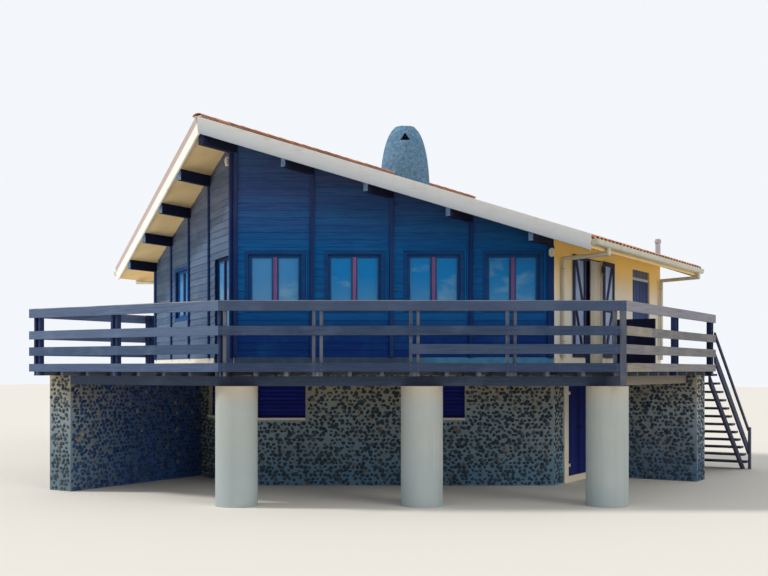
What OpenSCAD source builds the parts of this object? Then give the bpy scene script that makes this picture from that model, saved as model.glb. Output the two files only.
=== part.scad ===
// Beach house on a pebble-masonry basement: a low gabled house whose front
// comes to a point under the ridge, with a railed timber deck round the point.
// X runs across the house, Y along the ridge from front to back, Z up.
// The origin is on the ground, in the middle of the house under the ridge.

/* [House plan] */
// Width over the two side walls
house_w = 10340; // [9400:10:11400]
// Depth of the pointed front, from its corner back to the side walls
prow_d = 3250; // [2800:10:3700]
// Length from the front corner to the back wall
house_len = 9750; // [9200:10:10600]
// Thickness of the upper walls
wall_t = 200; // [140:5:260]
// Bays in each slanted front wall
bays = 4; // [3:1:4]
// Width of a bay, post to post, where the last bay takes the rest
bay = 1510; // [1450:5:1560]

/* [Heights] */
// Deck and upper floor above the lowest ground
floor_z = 2300; // [2200:10:2500]
// Underside of the roof at the ridge
ridge_z = 6570; // [6300:10:6800]
// Slope of the roof in degrees
roof_pitch = 19.4; // [16:0.1:20]
// Thickness of the upper floor slab
slab_t = 200; // [150:10:240]
// Thickness of the ground floor slab
ground_slab_t = 120; // [80:10:200]

/* [Basement] */
// Thickness of the pebble masonry
stone_t = 350; // [300:10:450]
// Width of a basement window
low_win_w = 910; // [700:10:1000]
// Sill of the basement windows above the ground
low_sill_z = 1250; // [1100:10:1400]
// Head of the basement windows and of the basement door
low_head_z = 1990; // [1800:10:2040]
// First front basement window, middle from the front corner
low_win_1 = 925; // [900:5:1000]
// Second front basement window, middle from the front corner
low_win_2 = 3960; // [3700:5:4200]
// Left basement window, middle from the front corner
low_win_3 = 1115; // [1000:5:1200]
// Thickness of the basement window shutters
low_shutter_t = 50; // [35:5:70]

/* [Basement door] */
// Width of the doorway
low_door_w = 1040; // [900:10:1200]
// Middle of the doorway behind the front corner of the side wall
low_door_y = 1210; // [1200:10:1600]
// Width of the rendered jambs and head
portal_w = 200; // [120:10:260]
// Distance that the rendered portal stands proud of the stone
portal_proud = 20; // [10:5:40]
// Thickness of the door leaves
leaf_t = 50; // [40:1:60]
// Gap round the door leaves
leaf_gap = 8; // [6:1:12]
// Radius of the hinge knuckles
knuckle_r = 14; // [12:1:18]
// Height of one hinge knuckle
knuckle_h = 60; // [45:5:80]
// Radius of the hinge pins
hinge_pin_r = 7; // [5:0.5:9]
// Radial clearance of the hinge pins
pin_gap = 0.1; // [0.05:0.01:0.1]

/* [Upper openings] */
// Head of the upper windows and doors above the floor
head_h = 2100; // [1950:10:2150]
// Sill of the upper windows above the floor
sill_h = 1060; // [900:10:1150]
// Width of an upper front window
win_w = 1010; // [900:10:1150]
// Depth of the window and door frames
frame_d = 70; // [50:5:90]
// Width of the frame members
frame_w = 55; // [40:5:70]
// Width of the mullion and the sash stiles
mullion_w = 110; // [80:5:130]
// Set-back of the frames from the wall face
frame_in = 40; // [20:5:80]
// Thickness of the glass
glass_t = 12; // [6:1:20]
// Width of the glazed door in the left front wall
prow_door_w = 960; // [850:10:1100]
// Gap between the glazed door and the post at the front corner
prow_door_gap = 87; // [60:1:120]
// Gap between the left window's trim and the post in front of it
left_win_gap = 49; // [20:2:80]
// Head of the side doors and side windows above the floor
side_head_h = 2190; // [2100:10:2220]
// Width of the glazed doors in the side walls
side_door_w = 970; // [900:10:1100]
// Middle of the side doors behind the front corner of the side wall
side_door_y = 2056; // [1950:2:2200]
// Width of the shuttered side openings
side_win_w = 1190; // [1000:10:1300]
// Middle of the shuttered openings behind the front corner of the side wall
side_win_y = 5090; // [4900:10:5300]
// Thickness of the shutter boards
shutter_t = 28; // [20:1:40]
// Distance that each open shutter is wider than half its door
shutter_lap = 165; // [20:5:200]
// Width of the shutter braces
brace_w = 90; // [60:5:120]
// Thickness of the shutter braces
brace_t = 22; // [15:1:30]

/* [Outside trim] */
// Height of the base strip at the foot of the upper walls
strip_h = 140; // [100:5:180]
// Distance that the base strip stands proud
strip_t = 18; // [10:1:30]
// Width of the posts between the bays
post_w = 75; // [60:5:140]
// Width of the end posts at the shoulders
end_post_w = 120; // [100:5:140]
// Distance that the posts stand proud
post_t = 60; // [30:5:70]
// Width of the dark trim round the upper front windows
trim_w = 75; // [50:5:100]
// Distance that the trim stands proud
trim_t = 20; // [12:1:30]

/* [Roof] */
// Thickness of the roof deck, measured upright
roof_t = 190; // [150:10:240]
// Thickness of the tile layer, measured upright
tile_t = 70; // [50:5:100]
// Overhang along the ridge at the front point
prow_over = 1000; // [850:10:1150]
// Overhang at the eaves
eave_over = 900; // [800:10:1000]
// Overhang at the back wall
rear_over = 120; // [60:10:400]
// Thickness of the bargeboards
barge_t = 40; // [30:5:60]
// Depth of the bargeboards, measured upright
barge_h = 305; // [250:5:330]
// Drop of the bargeboards below the roof's underside
barge_drop = 45; // [20:5:60]
// Radius of the ridge cap
cap_r = 130; // [110:5:160]
// Width of the ridge beam
ridge_beam_w = 120; // [90:5:160]
// Depth of the ridge beam
ridge_beam_h = 240; // [200:10:280]
// Width of the purlins
purlin_w = 100; // [80:5:130]
// Depth of the purlins
purlin_h = 200; // [160:10:240]
// Distance from the purlin tips to the bargeboard
purlin_back = 60; // [40:5:120]

/* [Chimney] */
// Distance of the chimney behind the front corner
chimney_y = 6340; // [6100:10:6700]
// Radius of the chimney at its foot
chimney_r = 600; // [560:5:640]
// Radius of the chimney's flat top
chimney_top_r = 240; // [200:5:280]
// Height of the chimney above the underside of the ridge
chimney_h = 1465; // [1300:5:1700]
// Radius of the flue inside
flue_r = 250; // [200:5:280]
// Width of the triangular smoke holes
smoke_w = 240; // [180:5:280]
// Height of the triangular smoke holes
smoke_h = 195; // [150:5:230]
// Distance of the smoke holes' middle below the top
smoke_drop = 290; // [250:10:340]

/* [Rainwater and vent] */
// Width of the gutters
gutter_w = 125; // [100:5:150]
// Height of the gutters
gutter_h = 95; // [80:5:110]
// Wall thickness of the gutters
gutter_t = 8; // [5:1:12]
// Radius of the downpipes
pipe_r = 42; // [35:1:50]
// Radius of the vent pipe
vent_r = 60; // [45:1:70]
// Height of the vent pipe above the tiles
vent_h = 335; // [300:5:450]
// Distance of the vent pipe behind the front corner of the side wall
vent_back = 5850; // [5700:10:6000]
// Distance of the vent pipe beyond the side wall
vent_out = 150; // [120:10:250]
// Distance of the front downpipe behind the front corner of the side wall
pipe_back = 330; // [280:10:400]

/* [Deck] */
// Distance from the front wall to the deck's edge
deck_d = 3400; // [3200:10:3500]
// Distance of the flat deck front's right corner from the middle of the house
deck_flat = 2020; // [1950:10:2200]
// Distance of the deck's left end from the middle of the house
deck_left = 2400; // [2200:10:2600]
// Distance from the right side wall to the deck's edge
deck_side = 2325; // [2100:5:2400]
// Distance of the deck's right end behind the front corner of the side wall
deck_end = 2730; // [2650:10:3000]
// Thickness of the deck boards
board_t = 30; // [25:1:40]
// Depth of the joists
joist_h = 170; // [150:10:190]
// Width of the joists
joist_w = 60; // [50:5:75]
// Spacing of the joists, about
joist_step = 560; // [520:10:620]
// Depth of the bearers
bearer_h = 160; // [140:10:180]
// Width of the bearers
bearer_w = 120; // [100:5:150]
// Set-back of the bearers from the deck's edge
bearer_in = 420; // [380:10:480]
// Diameter of the three piers
pier_d = 685; // [600:5:720]
// Thickness of the pebble wing walls
wing_t = 550; // [500:10:640]
// Distance of the right wing wall behind the front corner of the side wall
wing_back = 2150; // [2050:10:2200]
// Distance of the right wing wall's end from the deck's right edge
wing_in = 215; // [120:5:260]
// Gap between the deck and the house walls
deck_gap = 5; // [2:1:10]
// Clearance between boards that meet
fit_gap = 0.3; // [0.1:0.1:1]

/* [Rails] */
// Thickness of the rail boards
rail_t = 40; // [30:5:50]
// Height of the top rail board
rail_1_h = 165; // [140:5:180]
// Underside of the top rail above the deck
rail_1_z = 840; // [800:5:900]
// Height of the middle rail board
rail_2_h = 150; // [120:5:170]
// Underside of the middle rail above the deck
rail_2_z = 450; // [420:5:500]
// Height of the low rail board
rail_3_h = 155; // [120:5:170]
// Underside of the low rail above the deck
rail_3_z = 155; // [120:5:200]
// Height of the edge board in front of the joists
fascia_h = 140; // [120:5:160]
// Thickness of each plank of a rail post
plank_t = 50; // [40:5:60]
// Gap between the two planks of a rail post
plank_gap = 65; // [50:5:80]
// Width of the post planks, across the rail
plank_w = 95; // [80:5:120]
// First pair of planks along the slanted edge, from the deck's flat corner
first_post = 1570; // [1500:5:1620]
// Spacing of the posts along the slanted edge
post_step = 1540; // [1450:5:1560]
// Middle post of the flat front, from the deck's left corner
flat_post = 2055; // [1900:5:2150]
// Middle post of the right side, from the deck's right corner
side_post = 2830; // [2500:5:3000]
// Distance of the end posts' middles from the corners and ends
corner_in = 105; // [90:5:150]
// Distance of the slanted edge's first plank from the flat corner
plank_in = 66; // [60:1:90]
// Width of the plank that closes the right corner
corner_plank_w = 100; // [60:5:120]
// Length of the short boards nailed over the right side's boards
patch_len = 1180; // [1000:10:1300]
// Thickness of those short boards
patch_t = 25; // [20:1:30]
// Distance that the front boards run past the left corner
board_past = 62; // [40:2:160]
// Open way between the left return rail and the house wall
return_gap = 1300; // [1100:10:1500]

/* [Stair] */
// Number of risers from the ground to the deck
risers = 13; // [12:1:14]
// Going of each tread
going = 241; // [225:1:255]
// Width of the treads
tread_w = 1120; // [1000:10:1200]
// Depth of the treads
tread_d = 265; // [256:1:290]
// Thickness of the treads
tread_t = 45; // [35:5:60]
// Thickness of the stringers under the treads
string_t = 50; // [40:5:60]
// Depth of the stringers, measured upright
string_h = 160; // [120:5:200]
// Distance of the stringers from the ends of the treads
string_in = 60; // [40:5:200]
// Height of the guard board's underside over the noses
guard_z = 45; // [30:5:80]
// Depth of the guard board, measured upright
guard_h = 205; // [180:5:240]
// Height of the handrail's underside over the noses
stair_rail_z = 570; // [500:5:800]
// Depth of the handrail, measured upright
stair_rail_h = 85; // [70:5:140]
// Width of the post at the foot of the handrail
newel_w = 110; // [90:5:130]
// Thickness of that post
newel_t = 50; // [40:5:80]

/* [End screen] */
// Height of the boarded screen at the deck's right end
screen_h = 960; // [900:10:1000]
// Thickness of the screen
screen_t = 60; // [40:5:80]
// Gap between the screen and the house wall
screen_gap = 240; // [100:10:300]
// Gap between the screen and the stair
stair_gap = 50; // [20:5:100]

/* [Lamps] */
// Height of the oval wall lamps
lamp_h = 170; // [140:5:200]
// Width of the oval wall lamps
lamp_w = 100; // [80:5:120]
// Distance that the lamps stand proud of the wall
lamp_d = 90; // [50:5:90]
// Drop of the left lamp's middle below the ridge
lamp_1_drop = 380; // [300:5:420]
// Drop of the right lamp's middle below the last purlin
lamp_2_drop = 143; // [95:1:180]

/* [Hidden] */
$fn = 48;

half_w = house_w / 2;
tip_y = -house_len / 2;
back_y = house_len / 2;
shoulder_y = tip_y + prow_d;
prow_a = atan(prow_d / half_w);
prow_len = half_w / cos(prow_a);
prow_door_x = post_w + strip_t + prow_door_gap + prow_door_w / 2;
left_win_x = 2 * bay + post_w / 2 + left_win_gap + trim_w + win_w / 2;
slope = tan(roof_pitch);
far = 30000;
cut_reach = 750;
eps = 1;
slab_z = floor_z - slab_t;
head_z = floor_z + head_h;
sill_z = floor_z + sill_h;
side_head_z = floor_z + side_head_h;
side_sill_z = floor_z + sill_h / 2;
joist_z = floor_z - board_t - joist_h;
bearer_z = joist_z - bearer_h;

// Plan outlines

// Y of a line parallel to the slanted front, inset towards the house
function prow_line(x, inset) = tip_y + abs(x) * tan(prow_a) + inset / cos(prow_a);

// Outline of the house, inset all round
function house_points(inset) = [
    [0, prow_line(0, inset)],
    [half_w - inset, prow_line(half_w - inset, inset)],
    [half_w - inset, back_y - inset],
    [inset - half_w, back_y - inset],
    [inset - half_w, prow_line(half_w - inset, inset)]];

module house_prism(inset, z0, z1) {
    translate([0, 0, z0])
        linear_extrude(z1 - z0)
            polygon(house_points(inset));
}

// Quarter of a wall ring: the slanted wall on one side of the front corner
module slanted_plan(t) {
    polygon([
        [0, prow_line(0, 0)],
        [half_w, prow_line(half_w, 0)],
        [half_w - t, prow_line(half_w - t, t)],
        [0, prow_line(0, t)]]);
}

// Side wall between two distances behind its front corner, mitred at its ends
module side_plan(t, y0, y1) {
    near_in = y0 <= 0 ? prow_line(half_w - t, t) : shoulder_y + y0;
    far_out = y1 >= house_len - prow_d ? back_y : shoulder_y + y1;
    far_in = y1 >= house_len - prow_d ? back_y - t : shoulder_y + y1;
    polygon([
        [half_w, shoulder_y + max(y0, 0)],
        [half_w, far_out],
        [half_w - t, far_in],
        [half_w - t, near_in]]);
}

module back_plan(t) {
    polygon([
        [half_w, back_y],
        [-half_w, back_y],
        [t - half_w, back_y - t],
        [half_w - t, back_y - t]]);
}

// Frame of the right slanted wall: X along the wall, Y inwards from its face
module on_front() {
    translate([0, tip_y, 0])
        rotate([0, 0, prow_a])
            children();
}

// The same for the left slanted wall, seen mirrored
module on_left_front() {
    mirror([1, 0, 0])
        on_front()
            children();
}

// Frame of the right side wall: X back along the wall, Y inwards from its face
module on_side() {
    translate([half_w, shoulder_y, 0])
        rotate([0, 0, 90])
            children();
}

module on_left_side() {
    mirror([1, 0, 0])
        on_side()
            children();
}

// Frame of the back wall: X across, Y inwards from its face
module on_back() {
    translate([0, back_y, 0])
        rotate([0, 0, 180])
            children();
}

// Roof planes

purlin_x = [for (i = [1 : bays]) i == bays ? half_w - purlin_w / 2 : i * bay * cos(prow_a)];

// Height of a plane above the roof's underside at a distance from the ridge
function roof_at(x, up) = ridge_z + up - slope * abs(x);

// Everything between two planes parallel to the roof, on both slopes
module roof_band(up0, up1) {
    w = 2 * half_w;
    translate([0, far / 2, 0])
        rotate([90, 0, 0])
            linear_extrude(far)
                polygon([
                    [-w, roof_at(w, up0)],
                    [0, roof_at(0, up0)],
                    [w, roof_at(w, up0)],
                    [w, roof_at(w, up1)],
                    [0, roof_at(0, up1)],
                    [-w, roof_at(w, up1)]]);
}

// Everything under a plane parallel to the roof
module under_roof(up) {
    w = 2 * half_w;
    translate([0, far / 2, 0])
        rotate([90, 0, 0])
            linear_extrude(far)
                polygon([
                    [-w, 0],
                    [w, 0],
                    [w, roof_at(w, up)],
                    [0, roof_at(0, up)],
                    [-w, roof_at(w, up)]]);
}

eave_x = half_w + eave_over;
roof_tip_inset = -prow_over * cos(prow_a);

// Right half of the roof outline, cut back from its slanted edge and rear edge
module roof_plan(cut, back_cut, eave_cut) {
    ex = eave_x - eave_cut;
    inset = roof_tip_inset + cut;
    polygon([
        [0, prow_line(0, inset)],
        [ex, prow_line(ex, inset)],
        [ex, back_y + rear_over - back_cut],
        [0, back_y + rear_over - back_cut]]);
}

// Basement

module ground_slab() {
    color("darkgray")
        house_prism(stone_t, 0, ground_slab_t);
}

// Opening through a wall, in the wall's own frame
module hole(x, w, z0, z1) {
    translate([x - w / 2, -cut_reach, z0])
        cube([w, 2 * cut_reach, z1 - z0]);
}

module basement_front_wall() {
    color("darkkhaki")
        difference() {
            linear_extrude(slab_z)
                slanted_plan(stone_t);
            for (x = [low_win_1, low_win_2])
                on_front()
                    hole(x, low_win_w, low_sill_z, low_head_z);
        }
}

module basement_left_wall() {
    color("darkkhaki")
        difference() {
            mirror([1, 0, 0])
                linear_extrude(slab_z)
                    slanted_plan(stone_t);
            on_left_front()
                hole(low_win_3, low_win_w, low_sill_z, low_head_z);
        }
}

portal_y0 = low_door_y - low_door_w / 2 - portal_w;
portal_y1 = low_door_y + low_door_w / 2 + portal_w;
side_len = house_len - prow_d;

module basement_side_wall_near() {
    color("darkkhaki")
        linear_extrude(slab_z)
            side_plan(stone_t, 0, portal_y0);
}

module basement_side_wall_far() {
    color("darkkhaki")
        linear_extrude(slab_z)
            side_plan(stone_t, portal_y1, side_len);
}

module basement_left_side_wall() {
    color("darkkhaki")
        mirror([1, 0, 0])
            linear_extrude(slab_z)
                side_plan(stone_t, 0, side_len);
}

module basement_back_wall() {
    color("darkkhaki")
        linear_extrude(slab_z)
            back_plan(stone_t);
}

leaf_w = (low_door_w - 3 * leaf_gap) / 2;
leaf_z = ground_slab_t + leaf_gap;
leaf_face = portal_proud - leaf_gap;
ledge_h = 90;
ledge_z = [leaf_z + ledge_h, (leaf_z + low_head_z) / 2, low_head_z - 2 * ledge_h];
hinge_z = [leaf_z + 2 * ledge_h, low_head_z - 3 * ledge_h];
hinge_gap = 5;
axis_out = portal_proud + knuckle_r + hinge_gap;
flap_t = 6;
flap_w = 60;

// Frame of a leaf: X from its hinge edge towards the middle of the doorway
module on_leaf(far_leaf) {
    on_side()
        translate([low_door_y, 0, 0])
            mirror([far_leaf, 0, 0])
                translate([leaf_gap - low_door_w / 2, 0, 0])
                    children();
}

// Half of a hinge: knuckle on the axis, web and flap back to a face
module hinge_half(face, dir, h) {
    translate([-leaf_gap / 2, -axis_out, 0]) {
        cylinder(r = knuckle_r, h = h);
        mirror([dir, 0, 0]) {
            cube([knuckle_r, axis_out - face, h]);
            translate([0, axis_out - face - flap_t, 0])
                cube([flap_w, flap_t, h]);
        }
    }
}

module door_portal() {
    color("cornsilk")
        union() {
            on_side()
                difference() {
                    translate([portal_y0, -portal_proud, 0])
                        cube([portal_y1 - portal_y0, stone_t + portal_proud, slab_z]);
                    hole(low_door_y, low_door_w, ground_slab_t, low_head_z);
                }
            for (side = [0, 1], z = hinge_z)
                on_leaf(side)
                    translate([0, 0, z]) {
                        hinge_half(portal_proud, 1, knuckle_h);
                        translate([-leaf_gap / 2, -axis_out, 0])
                            cylinder(r = hinge_pin_r, h = 2 * knuckle_h);
                    }
        }
}

// One leaf of the double door, with its ledges inside and its hinge knuckles
module door_leaf() {
    difference() {
        union() {
            translate([0, -leaf_face, leaf_z])
                cube([leaf_w, leaf_t, low_head_z - leaf_gap - leaf_z]);
            for (z = ledge_z)
                translate([leaf_gap, leaf_t - leaf_face, z])
                    cube([leaf_w - 2 * leaf_gap, leaf_t / 2, ledge_h]);
            for (z = hinge_z)
                translate([0, 0, z + knuckle_h + pin_gap])
                    hinge_half(leaf_face, 0, knuckle_h);
        }
        for (z = hinge_z)
            translate([-leaf_gap / 2, -axis_out, z + knuckle_h - eps])
                cylinder(r = hinge_pin_r + pin_gap, h = knuckle_h + 2 * eps);
    }
}

module door_leaf_near() {
    color("darkslateblue")
        on_leaf(0)
            door_leaf();
}

module door_leaf_far() {
    color("darkslateblue")
        on_leaf(1)
            door_leaf();
}

sill_t = 40;
sill_out = 50;
shutter_in = 60;

module low_shutter(x) {
    translate([x - low_win_w / 2, shutter_in, low_sill_z])
        cube([low_win_w, low_shutter_t, low_head_z - low_sill_z]);
}

module basement_shutters() {
    color("midnightblue") {
        on_front()
            for (x = [low_win_1, low_win_2])
                low_shutter(x);
        on_left_front()
            low_shutter(low_win_3);
    }
}

module low_sill(x) {
    translate([x - low_win_w / 2, -sill_out, low_sill_z])
        cube([low_win_w, sill_out + shutter_in, sill_t]);
}

module basement_sills() {
    color("cornsilk") {
        on_front()
            for (x = [low_win_1, low_win_2])
                low_sill(x);
        on_left_front()
            low_sill(low_win_3);
    }
}

// Upper storey

module floor_slab() {
    color("lightgray")
        house_prism(0, slab_z, floor_z);
}

win_off = 45;
win_x = [for (i = [0 : bays - 1]) bay * (i + 0.5) + win_off];
back_win_x = [-half_w / 2, half_w / 2];

module upper_wall() {
    intersection() {
        translate([0, 0, floor_z])
            linear_extrude(ridge_z)
                children();
        under_roof(0);
    }
}

module front_wall() {
    color("dimgray")
        difference() {
            upper_wall()
                slanted_plan(wall_t);
            for (x = win_x)
                on_front()
                    hole(x, win_w, sill_z, head_z);
        }
}

module left_front_wall() {
    color("dimgray")
        difference() {
            mirror([1, 0, 0])
                upper_wall()
                    slanted_plan(wall_t);
            on_left_front() {
                hole(prow_door_x, prow_door_w, floor_z - eps, head_z);
                hole(left_win_x, win_w, sill_z, head_z);
            }
        }
}

module side_wall() {
    color("khaki")
        difference() {
            upper_wall()
                side_plan(wall_t, 0, side_len);
            on_side() {
                hole(side_door_y, side_door_w, floor_z - eps, side_head_z);
                hole(side_win_y, side_win_w, side_sill_z, side_head_z);
            }
        }
}

module right_side_wall() {
    side_wall();
}

module left_side_wall() {
    mirror([1, 0, 0])
        side_wall();
}

module back_wall() {
    color("khaki")
        difference() {
            upper_wall()
                back_plan(wall_t);
            for (x = back_win_x)
                on_back()
                    hole(x, win_w, sill_z, head_z);
        }
}

// Window that fills a hole: outer frame and middle mullion with two lights
module window_frame(x, w, z0, z1) {
    translate([x - w / 2, frame_in, z0])
        difference() {
            cube([w, frame_d, z1 - z0]);
            for (side = [0, 1])
                translate([side == 0 ? frame_w : (w + mullion_w) / 2, -eps, frame_w])
                    cube([(w - mullion_w) / 2 - frame_w, frame_d + 2 * eps, z1 - z0 - 2 * frame_w]);
        }
}

// The two panes of such a window, seated in its frame
module window_panes(x, w, z0, z1) {
    for (side = [0, 1])
        translate([
            x - w / 2 + (side == 0 ? frame_w : (w + mullion_w) / 2),
            frame_in + (frame_d - glass_t) / 2,
            z0 + frame_w])
            cube([(w - mullion_w) / 2 - frame_w, glass_t, z1 - z0 - 2 * frame_w]);
}

module window_frames() {
    color("brown") {
        on_front()
            for (x = win_x)
                window_frame(x, win_w, sill_z, head_z);
        on_left_front()
            window_frame(left_win_x, win_w, sill_z, head_z);
        on_back()
            for (x = back_win_x)
                window_frame(x, win_w, sill_z, head_z);
    }
}

door_rail_h = 620;

// Glazed door that fills a hole: frame, mullion and a boarded lower panel
module glazed_door(x, w, z1) {
    window_frame(x, w, floor_z + door_rail_h, z1);
    translate([x - w / 2, frame_in, floor_z + fit_gap])
        cube([w, frame_d, door_rail_h]);
}

module glazed_doors() {
    color("brown") {
        on_left_front()
            glazed_door(prow_door_x, prow_door_w, head_z);
        on_side()
            glazed_door(side_door_y, side_door_w, side_head_z);
        on_left_side()
            glazed_door(side_door_y, side_door_w, side_head_z);
    }
}

module window_glass() {
    color("lightsteelblue", 0.5) {
        on_front()
            for (x = win_x)
                window_panes(x, win_w, sill_z, head_z);
        on_left_front() {
            window_panes(left_win_x, win_w, sill_z, head_z);
            window_panes(prow_door_x, prow_door_w, floor_z + door_rail_h, head_z);
        }
        on_back()
            for (x = back_win_x)
                window_panes(x, win_w, sill_z, head_z);
        on_side()
            window_panes(side_door_y, side_door_w, floor_z + door_rail_h, side_head_z);
        on_left_side()
            window_panes(side_door_y, side_door_w, floor_z + door_rail_h, side_head_z);
    }
}

// Flat board frame round a window, just clear of the outer face
module trim_frame(x, w, z0, z1) {
    translate([x, -fit_gap, 0])
        difference() {
            translate([-w / 2 - trim_w, -trim_t, z0 - trim_w])
                cube([w + 2 * trim_w, trim_t, z1 - z0 + 2 * trim_w]);
            translate([-w / 2, -trim_t - eps, z0])
                cube([w, trim_t + 2 * eps, z1 - z0]);
        }
}

module window_trim() {
    color("black") {
        on_front()
            for (x = win_x)
                trim_frame(x, win_w, sill_z, head_z);
        on_left_front()
            trim_frame(left_win_x, win_w, sill_z, head_z);
        on_back()
            for (x = back_win_x)
                trim_frame(x, win_w, sill_z, head_z);
    }
}

// Strip of the base between two distances along a wall, just clear of its face
module strip(x0, x1) {
    translate([x0, -strip_t - fit_gap, floor_z])
        cube([x1 - x0, strip_t, strip_h]);
}

module wall_base_strip() {
    miter = (strip_t + fit_gap) * tan(prow_a);
    color("cornsilk") {
        on_front()
            strip(miter, prow_len - miter);
        on_left_front()
            strip(prow_door_x + prow_door_w / 2 + post_w, prow_len - miter);
        for (side = [0, 1])
            mirror([side, 0, 0])
                on_side() {
                    strip(miter, side_door_y - side_door_w / 2);
                    strip(side_door_y + side_door_w / 2, side_len);
                }
        on_back()
            strip(-half_w, half_w);
    }
}

// Upright posts on the slanted fronts, each up to the beam that it carries
module bay_posts() {
    for (i = [0 : bays]) {
        w = i == bays ? end_post_w : post_w;
        x = i == 0 ? strip_t : i == bays ? prow_len - end_post_w : i * bay - post_w / 2;
        z1 = i == 0 ? roof_at(0, -ridge_beam_h) : roof_at(purlin_x[i - 1], -purlin_h);
        on_front()
            translate([x, -post_t - fit_gap, floor_z + strip_h])
                cube([w, post_t, z1 - floor_z - strip_h]);
    }
}

module wall_posts() {
    color("black")
        for (side = [0, 1])
            mirror([side, 0, 0])
                bay_posts();
}

// Board panel with two rails and a diagonal brace between them
module braced_shutter(x, w, z0, z1) {
    h = z1 - z0;
    rise = h - 4 * brace_w;
    run = w - brace_w;
    translate([x, -shutter_t, z0])
        cube([w, shutter_t, h]);
    translate([x, -shutter_t - brace_t, z0])
        for (z = [brace_w, h - 2 * brace_w])
            translate([0, 0, z])
                cube([w, brace_t, brace_w]);
    translate([x, -shutter_t, z0 + 2 * brace_w])
        rotate([90, 0, 0])
            linear_extrude(brace_t)
                polygon([
                    [0, 0],
                    [brace_w, 0],
                    [w, rise],
                    [run, rise]]);
}

leaf_side_w = side_door_w / 2 + shutter_lap;
shutter_gap = 25;
shutter_up = 20;
shutter_z = floor_z + strip_h + shutter_up;

module open_shutters() {
    color("lightblue")
        for (side = [0, 1])
            mirror([side, 0, 0])
                on_side() {
                    braced_shutter(side_door_y - side_door_w / 2 - shutter_gap - leaf_side_w, leaf_side_w,
                        shutter_z, side_head_z);
                    braced_shutter(side_door_y + side_door_w / 2 + shutter_gap, leaf_side_w,
                        shutter_z, side_head_z);
                }
}

module closed_shutters() {
    color("darkslateblue")
        for (side = [0, 1])
            mirror([side, 0, 0])
                on_side()
                    translate([side_win_y - side_win_w / 2, frame_in, side_sill_z])
                        cube([side_win_w, low_shutter_t, side_head_z - side_sill_z]);
}

// Roof

module roof_half() {
    intersection() {
        linear_extrude(far / 2)
            roof_plan(barge_t, barge_t, 0);
        roof_band(0, roof_t);
    }
}

module roof_right() {
    color("wheat")
        roof_half();
}

module roof_left() {
    color("wheat")
        mirror([1, 0, 0])
            roof_half();
}

module tile_half() {
    difference() {
        intersection() {
            linear_extrude(far / 2)
                roof_plan(0, 0, -tile_t);
            roof_band(roof_t, roof_t + tile_t);
        }
        bargeboards();
    }
}

module tiles_right() {
    color("sandybrown")
        tile_half();
}

module tiles_left() {
    color("sandybrown")
        mirror([1, 0, 0])
            tile_half();
}

module bargeboards() {
    color("ivory")
        intersection() {
            for (side = [0, 1])
                mirror([side, 0, 0])
                    linear_extrude(far / 2)
                        difference() {
                            roof_plan(0, 0, 0);
                            roof_plan(barge_t - fit_gap, barge_t - fit_gap, -eps);
                            translate([-fit_gap / 2, -far / 2])
                                square([fit_gap, far]);
                        }
            roof_band(-barge_drop, barge_h - barge_drop);
        }
}

cap_back = back_y + rear_over;
cap_z = ridge_z + roof_t + tile_t;

module ridge_cap() {
    cap_gap = 20;
    color("peru")
        difference() {
            translate([0, cap_back, cap_z - cap_r / 2])
                rotate([90, 0, 0])
                    cylinder(r = cap_r, h = cap_back - prow_line(0, roof_tip_inset));
            under_roof(roof_t + tile_t);
            translate([0, tip_y + chimney_y, 0])
                cylinder(r = chimney_r + cap_gap, h = far / 2);
            translate([0, prow_line(0, roof_tip_inset), cap_z - far / 2])
                linear_extrude(far)
                    polygon([
                        [0, 0],
                        [half_w, half_w * tan(prow_a)],
                        [half_w, -half_w],
                        [-half_w, -half_w],
                        [-half_w, half_w * tan(prow_a)]]);
        }
}

// One purlin along the ridge direction, from its front tip to the back wall
module beam(x, w, h) {
    front = prow_line(x, roof_tip_inset) + purlin_back + (w / 2) * tan(prow_a);
    intersection() {
        translate([x - w / 2, front, roof_at(x, -h)])
            cube([w, prow_line(x, 0) - front, h + slope * w]);
        under_roof(0);
        linear_extrude(far / 2)
            polygon([
                [-half_w - w, prow_line(half_w + w, 0)],
                [0, tip_y],
                [half_w + w, prow_line(half_w + w, 0)],
                [half_w + w, -far],
                [-half_w - w, -far]]);
    }
}

module roof_beams() {
    color("black") {
        beam(0, ridge_beam_w, ridge_beam_h);
        for (side = [-1, 1], x = purlin_x)
            beam(side * x, purlin_w, purlin_h);
    }
}

gutter_z = roof_at(eave_x + tile_t, roof_t) - gutter_h / 2;
outlet_x = eave_x + gutter_w / 2;

// Half-round profile with upright lips
module gutter_profile(w) {
    intersection() {
        circle(d = w);
        translate([-w / 2, -w])
            square([w, w]);
    }
    translate([-w / 2, 0])
        square([w, gutter_h / 2]);
}

// Gutter along one eave, closed at both ends
module gutter_run() {
    y0 = prow_line(eave_x, roof_tip_inset) + barge_t;
    translate([outlet_x, back_y + rear_over, gutter_z])
        rotate([90, 0, 0])
            difference() {
                linear_extrude(back_y + rear_over - y0)
                    gutter_profile(gutter_w);
                translate([0, 0, gutter_t])
                    linear_extrude(back_y + rear_over - y0 - 2 * gutter_t)
                        union() {
                            gutter_profile(gutter_w - 2 * gutter_t);
                            translate([gutter_t - gutter_w / 2, gutter_h / 2 - eps])
                                square([gutter_w - 2 * gutter_t, 2 * eps]);
                        }
            }
}

module gutters() {
    color("ivory")
        for (side = [0, 1])
            mirror([side, 0, 0])
                gutter_run();
}

gutter_base = gutter_z - gutter_w / 2;
pipe_gap = 12;
pipe_x = half_w + pipe_r + strip_t + pipe_gap;
pipe_rear = 150;
pipe_y = [shoulder_y + pipe_back, back_y - pipe_rear];
pipe_top = gutter_base - fit_gap;
elbow_gap = 5;
elbow_r = pipe_r + 3;
elbow_z = roof_at(eave_x, 0) - pipe_r - elbow_gap;
arm_fall = 40;

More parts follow.
